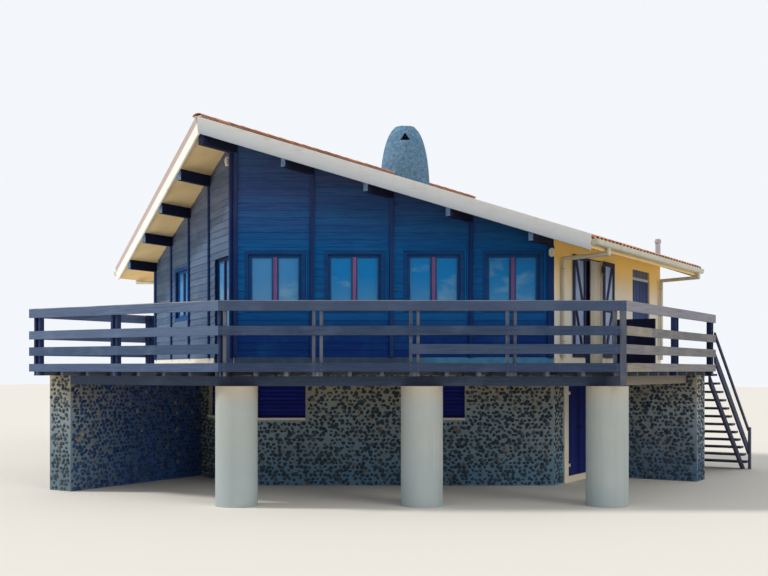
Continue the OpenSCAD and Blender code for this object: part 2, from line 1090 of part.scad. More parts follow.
// Downpipe: outlet under the gutter, an arm back to the wall, then down, with an
// elbow at each bend
module downpipe(y) {
    arm = outlet_x - pipe_x;
    foot_z = floor_z + strip_h;
    translate([outlet_x, y, elbow_z])
        cylinder(r = pipe_r, h = pipe_top - elbow_z);
    translate([outlet_x, y, elbow_z])
        sphere(r = elbow_r);
    translate([pipe_x, y, elbow_z - arm_fall])
        rotate([0, atan(arm / arm_fall), 0])
            cylinder(r = pipe_r, h = norm([arm, arm_fall]));
    translate([pipe_x, y, elbow_z - arm_fall])
        sphere(r = elbow_r);
    translate([pipe_x, y, foot_z])
        cylinder(r = pipe_r, h = elbow_z - arm_fall - foot_z);
}

module downpipes() {
    color("ivory")
        for (side = [0, 1])
            mirror([side, 0, 0])
                for (y = pipe_y)
                    downpipe(y);
}

chimney_z0 = ridge_z - slope * chimney_r;
chimney_z1 = ridge_z + chimney_h;
dome_p = 2.2;
dome_q = 2.7;
dome_end = pow(1 - pow(chimney_top_r / chimney_r, dome_q), 1 / dome_p);
dome_steps = 16;
flue_cap = 120;
smoke_holes = 3;

// Radius and height of the bullet-shaped chimney, from 0 at its foot to 1 at its top
function dome_r(t) = chimney_r * pow(1 - pow(t * dome_end, dome_p), 1 / dome_q);
function dome_z(t) = chimney_z0 + (chimney_z1 - chimney_z0) * t;

// Rounded chimney with three triangular smoke holes round its head
module chimney() {
    color("darkgray")
        translate([0, tip_y + chimney_y, 0])
            difference() {
                rotate_extrude()
                    difference() {
                        polygon(concat(
                            [[0, chimney_z0]],
                            [for (i = [0 : dome_steps])
                                [dome_r(i / dome_steps), dome_z(i / dome_steps)]],
                            [[0, chimney_z1]]));
                        square([flue_r, chimney_z1 - flue_cap]);
                    }
                translate([0, -tip_y - chimney_y, 0])
                    under_roof(roof_t + tile_t);
                for (i = [0 : smoke_holes - 1])
                    rotate([90, 0, prow_a + 360 / smoke_holes * i])
                        translate([0, chimney_z1 - smoke_drop, 0])
                            linear_extrude(2 * chimney_r)
                                polygon([
                                    [-smoke_w / 2, -smoke_h / 2],
                                    [smoke_w / 2, -smoke_h / 2],
                                    [0, smoke_h / 2]]);
            }
}

vent_x = half_w + vent_out;
vent_y = shoulder_y + vent_back;
collar_out = 15;
collar_r = vent_r + collar_out;
collar_h = 60;
collar_in = 90;

module vent_pipe() {
    color("lightgray")
        difference() {
            translate([vent_x, vent_y, roof_at(vent_x, 0)]) {
                cylinder(r = vent_r, h = roof_t + tile_t + vent_h);
                translate([0, 0, roof_t + tile_t + vent_h - collar_in])
                    cylinder(r = collar_r, h = collar_h);
            }
            under_roof(roof_t + tile_t);
        }
}

// Oval lamp standing out of a face, round at its head and foot
module lamp() {
    half_run = (lamp_h - lamp_w) / 2;
    translate([0, -fit_gap, 0])
        rotate([90, 0, 0])
            linear_extrude(lamp_d)
                union() {
                    for (z = [-half_run, half_run])
                        translate([0, z])
                            circle(d = lamp_w);
                    translate([-lamp_w / 2, -half_run])
                        square([lamp_w, 2 * half_run]);
                }
}

module wall_lamps() {
    color("ivory") {
        on_left_front()
            translate([2 * strip_t + post_w + lamp_w / 2, 0, ridge_z - lamp_1_drop])
                lamp();
        on_front()
            translate([
                prow_len - end_post_w / 2,
                -post_t - fit_gap,
                roof_at(purlin_x[bays - 1], -purlin_h) - lamp_2_drop])
                lamp();
    }
}

// Deck

deck_x = half_w + deck_side;
flat_y = prow_line(deck_flat, -deck_d);
end_y = shoulder_y + deck_end;
left_x = -deck_left;
flat_corner = [deck_flat, flat_y];
side_corner = [deck_x, prow_line(deck_x, -deck_d)];
pair_w = 2 * plank_t + plank_gap;
flat_len = deck_flat - left_x;
slant_len = norm(side_corner - flat_corner);
side_len_deck = end_y - side_corner[1];
return_len = prow_line(left_x, 0) - flat_y - return_gap;

// Middles of the rail posts along each edge of the deck
flat_posts = [corner_in, flat_post];
slant_posts = concat(
    [for (i = [0 : 2]) first_post + i * post_step],
    [slant_len - corner_in]);
side_posts = [side_post, side_len_deck - corner_in];
return_posts = [return_len - corner_in];

// The flat corner has one plank on each side of it
flat_plank = flat_len - rail_t * tan(prow_a / 2) - fit_gap - plank_t;
slant_plank = plank_in + plank_t / 2;

// Middles of the joists: one at each post, and more at even steps between two posts
function joist_count(run) = max(round(run / joist_step), 1);
function joist_places(p) = concat(
    [for (i = [0 : len(p) - 2])
        let (run = p[i + 1] - p[i], n = joist_count(run))
            for (k = [0 : n - 1])
                p[i] + run * k / n],
    [p[len(p) - 1]]);

// Outline of the deck's outer edge, moved inwards by a distance
function edge_x(inset) = deck_x - inset;
function flat_edge(inset) = flat_y + inset;
function slant_x(y, inset) = (y - tip_y - (inset - deck_d) / cos(prow_a)) / tan(prow_a);

module deck_plan(inset, wall_gap) {
    difference() {
        polygon([
            [left_x + inset, flat_edge(inset)],
            [slant_x(flat_edge(inset), inset), flat_edge(inset)],
            [edge_x(inset), prow_line(edge_x(inset), inset - deck_d)],
            [edge_x(inset), end_y],
            [half_w - eps, end_y],
            [half_w - eps, shoulder_y],
            [0, tip_y],
            [left_x + inset, prow_line(left_x + inset, 0)]]);
        polygon(house_points(-wall_gap));
    }
}

// Frames of the deck's edges: X along each edge, Y inwards from its boards
module on_flat() {
    translate([left_x, flat_y + rail_t])
        children();
}

module on_slant() {
    translate(flat_corner)
        rotate(prow_a)
            translate([0, rail_t])
                children();
}

module on_deck_side() {
    translate(side_corner)
        rotate(90)
            translate([0, rail_t])
                children();
}

module on_return() {
    translate([left_x + rail_t, flat_y + rail_t])
        rotate(90)
            mirror([0, 1])
                children();
}

// Plan of one plank from its near side at x, with a clearance round it
module plank_plan(x, grow) {
    translate([x - grow, fit_gap - grow])
        square([plank_t + 2 * grow, plank_w + 2 * grow]);
}

// Plan of a post of two planks side by side
module post_plan(x, grow) {
    for (s = [0, plank_t + plank_gap])
        plank_plan(x - pair_w / 2 + s, grow);
}

module post_feet() {
    on_flat() {
        for (x = flat_posts)
            post_plan(x, fit_gap);
        plank_plan(flat_plank, fit_gap);
    }
    on_slant() {
        for (x = slant_posts)
            post_plan(x, fit_gap);
        plank_plan(plank_in, fit_gap);
    }
    on_deck_side()
        for (x = side_posts)
            post_plan(x, fit_gap);
    on_return()
        for (x = return_posts)
            post_plan(x, fit_gap);
}

module deck_boards() {
    color("sienna")
        translate([0, 0, floor_z - board_t])
            linear_extrude(board_t)
                difference() {
                    deck_plan(rail_t + fit_gap, strip_t + deck_gap);
                    post_feet();
                }
}

// Strip of a width between two points
module between(p, q, w) {
    translate(p)
        rotate(atan2(q[1] - p[1], q[0] - p[0]))
            translate([0, -w / 2])
                square([norm(q - p), w]);
}

// Joists of one edge, from its boards to the house
module joist_row(places) {
    for (x = places)
        translate([x - joist_w / 2, 0])
            square([joist_w, far]);
}

// Joists run square to each edge of the deck and meet on two hips
module deck_joists() {
    house_tip = [0, tip_y];
    shoulder = [half_w, shoulder_y];
    deck_back = [deck_x, end_y];
    color("saddlebrown")
        translate([0, 0, joist_z])
            linear_extrude(joist_h)
                difference() {
                    intersection() {
                        deck_plan(rail_t + fit_gap, deck_gap);
                        union() {
                            between(house_tip, flat_corner, joist_w);
                            between(shoulder, side_corner, joist_w);
                            translate([half_w, end_y - joist_w])
                                square([deck_side, joist_w]);
                            difference() {
                                union() {
                                    intersection() {
                                        polygon([[left_x, flat_y], flat_corner, house_tip, [left_x, 0]]);
                                        on_flat()
                                            joist_row(joist_places(concat(flat_posts, [flat_plank])));
                                    }
                                    intersection() {
                                        polygon([flat_corner, side_corner, shoulder, house_tip]);
                                        on_slant()
                                            joist_row(joist_places(concat([slant_plank], slant_posts)));
                                    }
                                    intersection() {
                                        polygon([side_corner, deck_back, [half_w, end_y], shoulder]);
                                        on_deck_side()
                                            joist_row(joist_places(concat([corner_in], side_posts)));
                                    }
                                }
                                between(house_tip, flat_corner, joist_w + 2 * fit_gap);
                                between(shoulder, side_corner, joist_w + 2 * fit_gap);
                            }
                        }
                    }
                    post_feet();
                }
}

module deck_bearers() {
    x_in = edge_x(bearer_in);
    color("saddlebrown")
        translate([0, 0, bearer_z])
            linear_extrude(bearer_h)
                difference() {
                    deck_plan(bearer_in, 0);
                    polygon([
                        [left_x, flat_edge(bearer_in + bearer_w)],
                        [slant_x(flat_edge(bearer_in + bearer_w), bearer_in + bearer_w),
                            flat_edge(bearer_in + bearer_w)],
                        [x_in - bearer_w, prow_line(x_in - bearer_w, bearer_in + bearer_w - deck_d)],
                        [x_in - bearer_w, end_y + far],
                        [-far, end_y + far],
                        [-far, flat_edge(bearer_in + bearer_w)]]);
                    wing_plan_left();
                    wing_plan_right();
                }
}

pier_in = bearer_in + bearer_w / 2;
pier_first_in = 65;
pier_last_in = 430;
pier_x0 = deck_flat - pier_first_in;
pier_x2 = deck_x - pier_last_in;
pier_x = [pier_x0, (pier_x0 + pier_x2) / 2, pier_x2];

module piers() {
    color("antiquewhite")
        for (x = pier_x)
            translate([x, prow_line(x, pier_in - deck_d), 0])
                cylinder(d = pier_d, h = bearer_z);
}

wing_front = flat_edge(bearer_in);
wing_y = shoulder_y + wing_back;
wing_side_x = deck_x - wing_in;

module wing_plan_left() {
    difference() {
        translate([left_x, wing_front])
            square([wing_t, prow_line(left_x, 0) - wing_front + wing_t]);
        polygon(house_points(-fit_gap));
    }
}

module wing_plan_right() {
    translate([half_w, wing_y])
        square([wing_side_x - half_w, wing_t]);
}

module left_wing_wall() {
    color("darkkhaki")
        linear_extrude(joist_z)
            wing_plan_left();
}

module right_wing_wall() {
    color("darkkhaki")
        linear_extrude(joist_z)
            wing_plan_right();
}

// Railings: three boards and an edge board outside posts of two planks

post_top = floor_z + rail_1_z + rail_1_h;
fascia_up = 10;
missing_to = slant_posts[1] - pair_w / 2;
side_turn = 90 - prow_a;

module rail_posts(places) {
    translate([0, 0, joist_z])
        linear_extrude(post_top - joist_z)
            for (x = places)
                post_plan(x, 0);
}

module corner_plank(x) {
    translate([0, 0, joist_z])
        linear_extrude(post_top - joist_z)
            plank_plan(x, 0);
}

// One board outside the posts, mitred at each end for the turn of the edge there
module rail_board(x0, x1, z, h, turn0, turn1) {
    translate([0, 0, floor_z + z])
        linear_extrude(h)
            polygon([
                [x0, -rail_t],
                [x1, -rail_t],
                [x1 - rail_t * tan(turn1 / 2), 0],
                [x0 + rail_t * tan(turn0 / 2), 0]]);
}

// Heights of the three boards below the top rail, and their depths
low_boards = [[rail_2_z, rail_2_h], [rail_3_z, rail_3_h], [fascia_up - fascia_h, fascia_h]];

// The four boards of one edge
module edge_boards(x0, x1, turn0, turn1) {
    rail_board(x0, x1, rail_1_z, rail_1_h, turn0, turn1);
    for (b = low_boards)
        rail_board(x0, x1, b[0], b[1], turn0, turn1);
}

// The slanted edge: its low board is missing at first, and its boards under the
// top rail stop at a plank that closes the right corner down to the bearer
module front_rails() {
    low_end = slant_len - corner_plank_w - fit_gap;
    color("rosybrown")
        on_slant() {
            rail_posts(slant_posts);
            corner_plank(plank_in);
            rail_board(0, slant_len, rail_1_z, rail_1_h, prow_a, side_turn);
            for (b = low_boards)
                rail_board(b[0] == rail_3_z ? missing_to : 0, low_end, b[0], b[1],
                    b[0] == rail_3_z ? 0 : prow_a, 0);
            rail_board(slant_len - corner_plank_w, slant_len, bearer_z - floor_z,
                floor_z + rail_1_z - fit_gap - bearer_z, 0, side_turn);
        }
}

module left_rails() {
    color("rosybrown")
        on_flat() {
            rail_posts(flat_posts);
            corner_plank(flat_plank);
            edge_boards(-board_past, flat_len, 0, prow_a);
        }
}

module return_rails() {
    color("rosybrown")
        on_return() {
            rail_posts(return_posts);
            edge_boards(plank_w + 2 * fit_gap, return_len, 0, 0);
        }
}

module right_rails() {
    color("rosybrown")
        on_deck_side() {
            rail_posts(side_posts);
            edge_boards(fit_gap, side_len_deck, side_turn, 0);
            for (b = [low_boards[0], low_boards[2]])
                translate([0, -rail_t - fit_gap - patch_t, floor_z + b[0]])
                    cube([patch_len, patch_t, b[1]]);
        }
}

// Stair at the right end of the deck, going down away from the front

riser = floor_z / risers;
treads = risers - 1;
stair_x = deck_x - rail_t - fit_gap - tread_w;
string_x = [string_in, tread_w - string_in - string_t];

// Height of the line through the tread noses, a distance behind the deck
function nose_z(y) = floor_z - y * riser / going;

// Upright board along the stair between two heights over the nose line
module sloping_board(x, t, y0, y1, up0, up1) {
    translate([x, end_y, 0])
        rotate([90, 0, 90])
            linear_extrude(t)
                intersection() {
                    polygon([
                        [y0, nose_z(y0) + up0],
                        [y0, nose_z(y0) + up1],
                        [y1, nose_z(y1) + up1],
                        [y1, nose_z(y1) + up0]]);
                    square([far, far]);
                }
}

module stair_treads() {
    color("sienna")
        for (i = [1 : treads])
            translate([stair_x, end_y + (i - 1) * going, floor_z - i * riser - tread_t])
                cube([tread_w, tread_d, tread_t]);
}

module stair_stringers() {
    color("saddlebrown")
        for (x = string_x)
            sloping_board(stair_x + x, string_t, 0, treads * going,
                -riser - tread_t - string_h, -riser - tread_t);
}

// Handrail and guard board on the outer side, nailed to a post at the foot
module stair_rails() {
    x = deck_x - rail_t;
    newel_y = (treads - 1) * going;
    color("rosybrown") {
        for (b = [[stair_rail_z, stair_rail_h], [guard_z, guard_h]])
            sloping_board(x, rail_t, fit_gap, newel_y + newel_w, b[0], b[0] + b[1]);
        translate([x + rail_t + fit_gap, end_y + newel_y, 0])
            cube([newel_t, newel_w, nose_z(newel_y + newel_w) + stair_rail_z + stair_rail_h]);
    }
}

// Boarded screen between the house wall and the stair, on the deck's end
module end_screen() {
    x0 = half_w + screen_gap;
    x1 = stair_x - stair_gap;
    color("midnightblue")
        translate([x0, end_y - screen_t - rail_t, floor_z])
            cube([x1 - x0, screen_t, screen_h]);
}

ground_slab();
basement_front_wall();
basement_left_wall();
basement_side_wall_near();
basement_side_wall_far();
basement_left_side_wall();
basement_back_wall();
door_portal();
door_leaf_near();
door_leaf_far();
basement_shutters();
basement_sills();
floor_slab();
front_wall();
left_front_wall();
right_side_wall();
left_side_wall();
back_wall();
wall_base_strip();
wall_posts();
window_trim();
window_frames();
window_glass();
glazed_doors();
open_shutters();
closed_shutters();
roof_beams();
roof_right();
roof_left();
bargeboards();
tiles_right();
tiles_left();
ridge_cap();
gutters();
downpipes();
chimney();
vent_pipe();
wall_lamps();
deck_boards();
deck_joists();
deck_bearers();
piers();
left_wing_wall();
right_wing_wall();
front_rails();
left_rails();
return_rails();
right_rails();
end_screen();
stair_stringers();
stair_treads();
stair_rails();
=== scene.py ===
import math

import bmesh
import bpy
import numpy as np
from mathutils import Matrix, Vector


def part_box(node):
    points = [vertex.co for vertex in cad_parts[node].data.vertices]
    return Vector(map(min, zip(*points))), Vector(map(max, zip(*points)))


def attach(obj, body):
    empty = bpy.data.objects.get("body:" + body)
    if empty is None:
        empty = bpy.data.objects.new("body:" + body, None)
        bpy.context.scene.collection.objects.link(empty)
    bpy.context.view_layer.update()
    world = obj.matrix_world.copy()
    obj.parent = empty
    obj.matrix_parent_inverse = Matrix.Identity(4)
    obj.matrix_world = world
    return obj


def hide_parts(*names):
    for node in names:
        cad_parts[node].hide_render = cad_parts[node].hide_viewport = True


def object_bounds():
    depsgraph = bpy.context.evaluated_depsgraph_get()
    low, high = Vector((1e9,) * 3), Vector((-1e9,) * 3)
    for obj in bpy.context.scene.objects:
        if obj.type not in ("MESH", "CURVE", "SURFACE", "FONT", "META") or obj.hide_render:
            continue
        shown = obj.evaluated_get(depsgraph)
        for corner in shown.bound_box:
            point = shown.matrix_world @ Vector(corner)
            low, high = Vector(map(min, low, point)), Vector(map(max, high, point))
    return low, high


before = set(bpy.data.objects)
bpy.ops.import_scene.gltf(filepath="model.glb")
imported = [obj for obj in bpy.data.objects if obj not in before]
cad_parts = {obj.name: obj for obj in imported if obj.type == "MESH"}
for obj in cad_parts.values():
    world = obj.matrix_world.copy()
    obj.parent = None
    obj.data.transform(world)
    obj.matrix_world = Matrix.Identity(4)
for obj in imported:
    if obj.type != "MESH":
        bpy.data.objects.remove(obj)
cad_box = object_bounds()

# Basement masonry: beach pebbles of a hand's width, pressed into pale mortar on the
# block walls and the two wing walls under the deck. The mortar is the walls' own
# finish, and every pebble is a dome that stands out of it.
PEBBLE_STEP = 0.089
PEBBLE_ROW_STEP = PEBBLE_STEP * 0.84
PEBBLE_SIDES = 7
PEBBLE_RADII = (0.031, 0.054)
PEBBLE_BULGES = (0.012, 0.026)
PEBBLE_JITTER = (0.026, 0.02)
MISSING_SHARE = 0.06
# Room before the first pebble and after the last one, along a wall and up it.
SIDE_ROOM = (0.06, 0.04)
HEIGHT_ROOM = (0.05, 0.03)
OPENING_ROOM = 0.05
CORNER_GAP = 0.003


def box_ends(node):
    """The lowest and the highest corner of a node's box, as arrays."""
    return np.array(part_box(node))


house_low, house_high = box_ends("floor_slab")
half_width, back_y, floor_z = house_high
tip_y, stone_top = house_low[1:]
shoulder_y = box_ends("right_side_wall")[0][1]
front_angle = math.atan2(shoulder_y - tip_y, half_width)
sin_front, cos_front, tan_front = (f(front_angle) for f in (math.sin, math.cos, math.tan))
front_run = half_width / cos_front
side_run = back_y - shoulder_y


class WallFace:
    """A wall's outer face: a corner, a unit run along it and a unit direction out of it."""

    def __init__(self, corner, run, out):
        self.corner = np.array([*corner, 0.0])
        self.run = np.array([*run, 0.0])
        self.out = np.array([*out, 0.0])

    def at(self, along, out, up):
        """Points: corner plus along times run, plus out times the outward direction, plus up."""
        along, out, up = np.broadcast_arrays(*(np.asarray(v, float) for v in (along, out, up)))
        lift = np.array([0.0, 0.0, 1.0])
        return (self.corner + along[..., None] * self.run + out[..., None] * self.out
                + up[..., None] * lift)


front_face = WallFace((0, tip_y), (cos_front, sin_front), (sin_front, -cos_front))
left_front_face = WallFace((0, tip_y), (-cos_front, sin_front), (-sin_front, -cos_front))
right_side_face = WallFace((half_width, shoulder_y), (0, 1), (1, 0))
left_side_face = WallFace((-half_width, shoulder_y), (0, 1), (-1, 0))
back_face = WallFace((half_width, back_y), (-1, 0), (0, 1))


def paint(text):
    """Linear colour from a six-digit screen colour: each channel undoes the screen's curve."""
    channels = [int(text[i:i + 2], 16) / 255 for i in (0, 2, 4)]
    linear = [c / 12.92 if c <= 0.04045 else ((c + 0.055) / 1.055) ** 2.4 for c in channels]
    return (*linear, 1.0)


class Finish:
    """A node material under a Principled shader, built up from small steps."""

    def __init__(self, name, colour, roughness=0.8, **inputs):
        self.material = bpy.data.materials.new(name)
        self.material.use_nodes = True
        self.nodes = self.material.node_tree.nodes
        self.links = self.material.node_tree.links
        self.shader = self.nodes["Principled BSDF"]
        self.colour = paint(colour)
        self.normal = None
        inputs.update(Base_Color=self.colour, Roughness=roughness)
        for socket, value in inputs.items():
            self.shader.inputs[socket.replace("_", " ")].default_value = value

    def feed(self, socket, value):
        """Links an output to a socket, or sets the socket's own value."""
        if isinstance(value, bpy.types.NodeSocket):
            self.links.new(value, socket)
        else:
            socket.default_value = value

    def node(self, kind, **inputs):
        """A node of one kind, with its inputs fed by name."""
        made = self.nodes.new(kind)
        for socket, value in inputs.items():
            self.feed(made.inputs[socket.replace("_", " ")], value)
        return made

    def place(self, scale=(1, 1, 1), turn=0.0, from_uv=False):
        """Object or UV coordinates, turned about Z and scaled."""
        source = self.nodes.new("ShaderNodeTexCoord").outputs["UV" if from_uv else "Object"]
        turned = self.node("ShaderNodeMapping", Vector=source, Rotation=(0, 0, -turn))
        return self.node("ShaderNodeMapping", Vector=turned.outputs[0], Scale=scale).outputs[0]

    def along(self, axis, turn=0.0):
        """The object coordinate along X, Y or Z, after a turn about Z."""
        parts = self.node("ShaderNodeSeparateXYZ", Vector=self.place(turn=turn))
        return parts.outputs[axis]

    def noise(self, vector=None, scale=1.0, detail=4.0, roughness=0.55, distortion=0.0):
        """Cloudy noise from 0 to 1, with about so many patches to the metre, over the object
        or over coordinates already placed."""
        if vector is None:
            vector = self.place()
        return self.node("ShaderNodeTexNoise", Vector=vector, Scale=scale, Detail=detail,
                         Roughness=roughness, Distortion=distortion).outputs["Fac"]

    def band(self, value, low, high, to_low=0.0, to_high=1.0):
        """The value between low and high, stretched to the new range and held at its ends."""
        made = self.node("ShaderNodeMapRange", Value=value, From_Min=low, From_Max=high,
                         To_Min=to_low, To_Max=to_high)
        return made.outputs["Result"]

    def count(self, kind, *values):
        """One sum on a value, such as a product, a share left over or a size without its sign."""
        made = self.nodes.new("ShaderNodeMath")
        made.operation = kind
        for socket, value in zip(made.inputs, values):
            self.feed(socket, value)
        return made.outputs[0]

    def joints(self, place, pitch, width):
        """0 in a joint of a width at every pitch along a place, and 1 between the joints."""
        part = self.count("FRACT", self.count("DIVIDE", place, pitch))
        edge = self.count("ABSOLUTE", self.count("SUBTRACT", part, 0.5))
        return self.band(edge, 0.5 - width / pitch, 0.5, 1, 0)

    def attribute(self, name):
        """A number that the mesh holds for each of its points."""
        made = self.nodes.new("ShaderNodeAttribute")
        made.attribute_name = name
        return made.outputs["Fac"]

    def mix(self, amount, colour):
        """Lays a colour over what the surface has so far, by an amount from 0 to 1."""
        made = self.nodes.new("ShaderNodeMix")
        made.data_type = "RGBA"
        for socket, value in ((0, amount), (6, self.colour), (7, paint(colour))):
            self.feed(made.inputs[socket], value)
        self.colour = made.outputs[2]

    def tint(self, colour, value, low, high, amount=1.0):
        """Lays a colour over the surface, from none where a value is low to the whole amount
        where it is high."""
        self.mix(self.band(value, low, high, 0, amount), colour)

    def relief(self, height, depth):
        """Bump of a depth in metres from a height between 0 and 1, over earlier bumps."""
        made = self.node("ShaderNodeBump", Height=height, Distance=depth, Strength=1.0)
        if self.normal is not None:
            self.links.new(self.normal, made.inputs["Normal"])
        self.normal = made.outputs[0]

    def done(self):
        """Feeds the last colour and the last bump to the shader, and gives the material."""
        self.feed(self.shader.inputs["Base Color"], self.colour)
        if self.normal is not None:
            self.links.new(self.normal, self.shader.inputs["Normal"])
        return self.material


def dress(material, *nodes):
    """Gives nodes of the frame a finish."""
    for node in nodes:
        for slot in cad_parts[node].material_slots:
            slot.material = material


def solid_mesh(name, points, faces, flow=None, tone=None, smooth=False):
    """A mesh from an array of points, held inside the CAD model's box, and a list of face
    arrays, with its normals turned outwards. flow holds a UV for each point, and tone a
    number for each point."""
    mesh = bpy.data.meshes.new(name)
    rows = [row for block in faces for row in np.asarray(block).tolist()]
    held = np.clip(np.asarray(points, float).reshape(-1, 3), *cad_box)
    mesh.from_pydata(held.tolist(), [], rows)
    corner_points = np.empty(len(mesh.loops), int)
    mesh.loops.foreach_get("vertex_index", corner_points)
    if flow is not None:
        layer = mesh.uv_layers.new(name="flow")
        layer.data.foreach_set("uv", np.asarray(flow, float)[corner_points].ravel())
    if tone is not None:
        spread = mesh.attributes.new("tone", "FLOAT", "POINT")
        spread.data.foreach_set("value", np.asarray(tone, float).ravel())
    shell = bmesh.new()
    shell.from_mesh(mesh)
    bmesh.ops.recalc_face_normals(shell, faces=shell.faces)
    shell.to_mesh(mesh)
    shell.free()
    mesh.polygons.foreach_set("use_smooth", np.full(len(mesh.polygons), smooth))
    mesh.update()
    return mesh


def fit_piece(mesh, material, body="house", stands_for=None):
    """Puts a finished mesh in the scene with its material, riding on a body, and hides the
    node that it stands in for."""
    piece = bpy.data.objects.new(mesh.name, mesh)
    bpy.context.scene.collection.objects.link(piece)
    mesh.materials.append(material)
    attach(piece, body)
    if stands_for:
        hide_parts(stands_for)
    return piece


def loose_solids(node):
    """The corner points of each separate solid in a node, found by joining triangles that
    share a corner until nothing changes."""
    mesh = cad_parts[node].data
    points = np.empty(len(mesh.vertices) * 3)
    mesh.vertices.foreach_get("co", points)
    points = points.reshape(-1, 3)
    sites, index = np.unique(np.round(points, 5), axis=0, return_inverse=True)
    mesh.calc_loop_triangles()
    corners = np.empty(len(mesh.loop_triangles) * 3, int)
    mesh.loop_triangles.foreach_get("vertices", corners)
    triangles = index.ravel()[corners].reshape(-1, 3)
    label = np.arange(len(sites))
    while True:
        lowest = label[triangles].min(axis=1)
        before = label.copy()
        for corner in range(3):
            np.minimum.at(label, triangles[:, corner], lowest)
        label = label[label]
        if (label == before).all():
            break
    return [sites[label == name] for name in np.unique(label)]


def near_face(face, node):
    """Ranges along, up and out of a wall face, for each solid of a node that lies within
    half a metre of its plane and doesn't start before its corner."""
    reach, before = 0.5, 0.2
    ranges = []
    for points in loose_solids(node):
        offset = points - face.corner
        along, out = offset @ face.run, offset @ face.out
        if abs(out).max() < reach and along.min() > -before:
            ranges.append((along.min(), along.max(), points[:, 2].min(), points[:, 2].max(),
                           out.min(), out.max()))
    return sorted(ranges)


def dome_faces(first, sides):
    """Faces of domes, each of three rings of points and a top point: the walls between the
    rings, the crown up to the top, and the foot. first holds each dome's first point."""
    first = first[:, None]
    k = np.arange(sides)
    n = (k + 1) % sides
    walls = [np.stack([low + k, low + n, low + sides + n, low + sides + k], axis=2).reshape(-1, 4)
             for low in (first, first + sides)]
    last, top = first + 2 * sides, first + 3 * sides
    crown = np.stack([last + k, last + n, top + 0 * k], axis=2).reshape(-1, 3)
    return [*walls, crown, first + k[::-1]]


def pebbles(name, fields, seed):
    """Pebble domes on wall faces. The middles are a staggered grid with jitter. A dome is
    rings of radius R times 0.96, 1 and 0.74 at -0.25, 0 and 0.6 of its bulge, with a
    two-lobed and a three-lobed wave, squeezed along one turned axis, closed by its foot
    and its top. A field is a face, its ends along it, its two heights and its openings."""
    draw = np.random.default_rng(seed)
    points, tones, faces = [], [], []
    base = 0
    levels = np.array([-0.25, 0.0, 0.6])
    radii = np.array([0.96, 1.0, 0.74])
    small, large = PEBBLE_RADII
    turn = np.arange(PEBBLE_SIDES) / PEBBLE_SIDES * 2 * np.pi
    for face, s0, s1, z0, z1, holes in fields:
        s, z = np.meshgrid(np.arange(s0 + SIDE_ROOM[0], s1 - SIDE_ROOM[1], PEBBLE_STEP),
                           np.arange(z0 + HEIGHT_ROOM[0], z1 - HEIGHT_ROOM[1], PEBBLE_ROW_STEP))
        s = s + (np.arange(len(s)) % 2)[:, None] * PEBBLE_STEP / 2
        s, z = ((v + draw.uniform(-by, by, v.shape)).ravel() for v, by in zip((s, z), PEBBLE_JITTER))
        keep = (s < s1 - SIDE_ROOM[1]) & (draw.random(len(s)) > MISSING_SHARE)
        for h0, h1, g0, g1 in holes:
            keep &= ~((s > h0 - OPENING_ROOM) & (s < h1 + OPENING_ROOM)
                      & (z > g0 - OPENING_ROOM) & (z < g1 + OPENING_ROOM))
        s, z = s[keep], z[keep]
        count = len(s)
        long = small + (large - small) * draw.random(count) ** 1.3
        short = long * draw.uniform(0.62, 0.95, count)
        lean = draw.uniform(-0.9, 0.9, count)[:, None, None]
        bulge = draw.uniform(*PEBBLE_BULGES, count)
        phase = draw.uniform(0, 6.3, (2, count, 1))
        wave = 1 + 0.12 * np.cos(3 * turn[None] + phase[0]) + 0.1 * np.cos(2 * turn[None] + phase[1])
        ring = wave[:, None, :] * radii[None, :, None]
        a = ring * np.cos(turn) * long[:, None, None]
        b = ring * np.sin(turn) * short[:, None, None]
        along = s[:, None, None] + a * np.cos(lean) - b * np.sin(lean)
        up = z[:, None, None] + a * np.sin(lean) + b * np.cos(lean)
        out = np.broadcast_to(bulge[:, None, None] * levels[None, :, None], along.shape)
        along = np.clip(along, s0 + CORNER_GAP, s1 - CORNER_GAP)
        up = np.clip(up, 0.001, z1 - CORNER_GAP)
        rings = face.at(along, out, up).reshape(count, -1, 3)
        block = np.concatenate([rings, face.at(s, bulge, z)[:, None, :]], axis=1)
        size = block.shape[1]
        faces += dome_faces(base + np.arange(count) * size, PEBBLE_SIDES)
        points.append(block.reshape(-1, 3))
        tones.append(np.repeat(draw.random(count), size))
        base += count * size
    return solid_mesh(name, np.concatenate(points), faces, tone=np.concatenate(tones), smooth=True)


# Heights over which the mortar warms towards its top, and over which painted shade turns it bluer
# towards the ground.
WARM_HEIGHTS = (1.35, 1.95)
GROUND_SHADE_HEIGHTS = (1.4, 0.2)


def shade_tinted_mortar(name, base, warm, low, inner_face_shade=None):
    """Sandy mortar with grit: warm at the top, and bluer towards the ground in painted shade.
    The last argument, if given, holds a colour of painted shade, the two places along Y
    between which the wall takes it, and the X beyond which it does."""
    mortar = Finish(name, base, roughness=0.95)
    grain = mortar.noise(scale=38, detail=6, roughness=0.7)
    patch = mortar.noise(scale=1.3, detail=3)
    mortar.tint(warm, mortar.along(2), *WARM_HEIGHTS, 0.75)
    mortar.tint("9d9279", patch, 0.42, 0.62, 0.4)
    mortar.tint(low, mortar.along(2), *GROUND_SHADE_HEIGHTS, 0.85)
    # Painted shade on the inner face of a wing wall, deepening towards the back.
    if inner_face_shade:
        shade_colour, start_y, full_y, inner_x = inner_face_shade
        inner = mortar.band(mortar.along(0), inner_x - 0.01, inner_x)
        back = mortar.band(mortar.along(1), start_y, full_y, 0, 0.75)
        mortar.mix(mortar.count("MULTIPLY", inner, back), shade_colour)
    mortar.tint("6a6e6c", grain, 0.5, 0.72, 0.6)
    mortar.tint("cfc9b6", grain, 0.36, 0.3, 0.6)
    mortar.relief(grain, 0.014)
    return mortar.done()
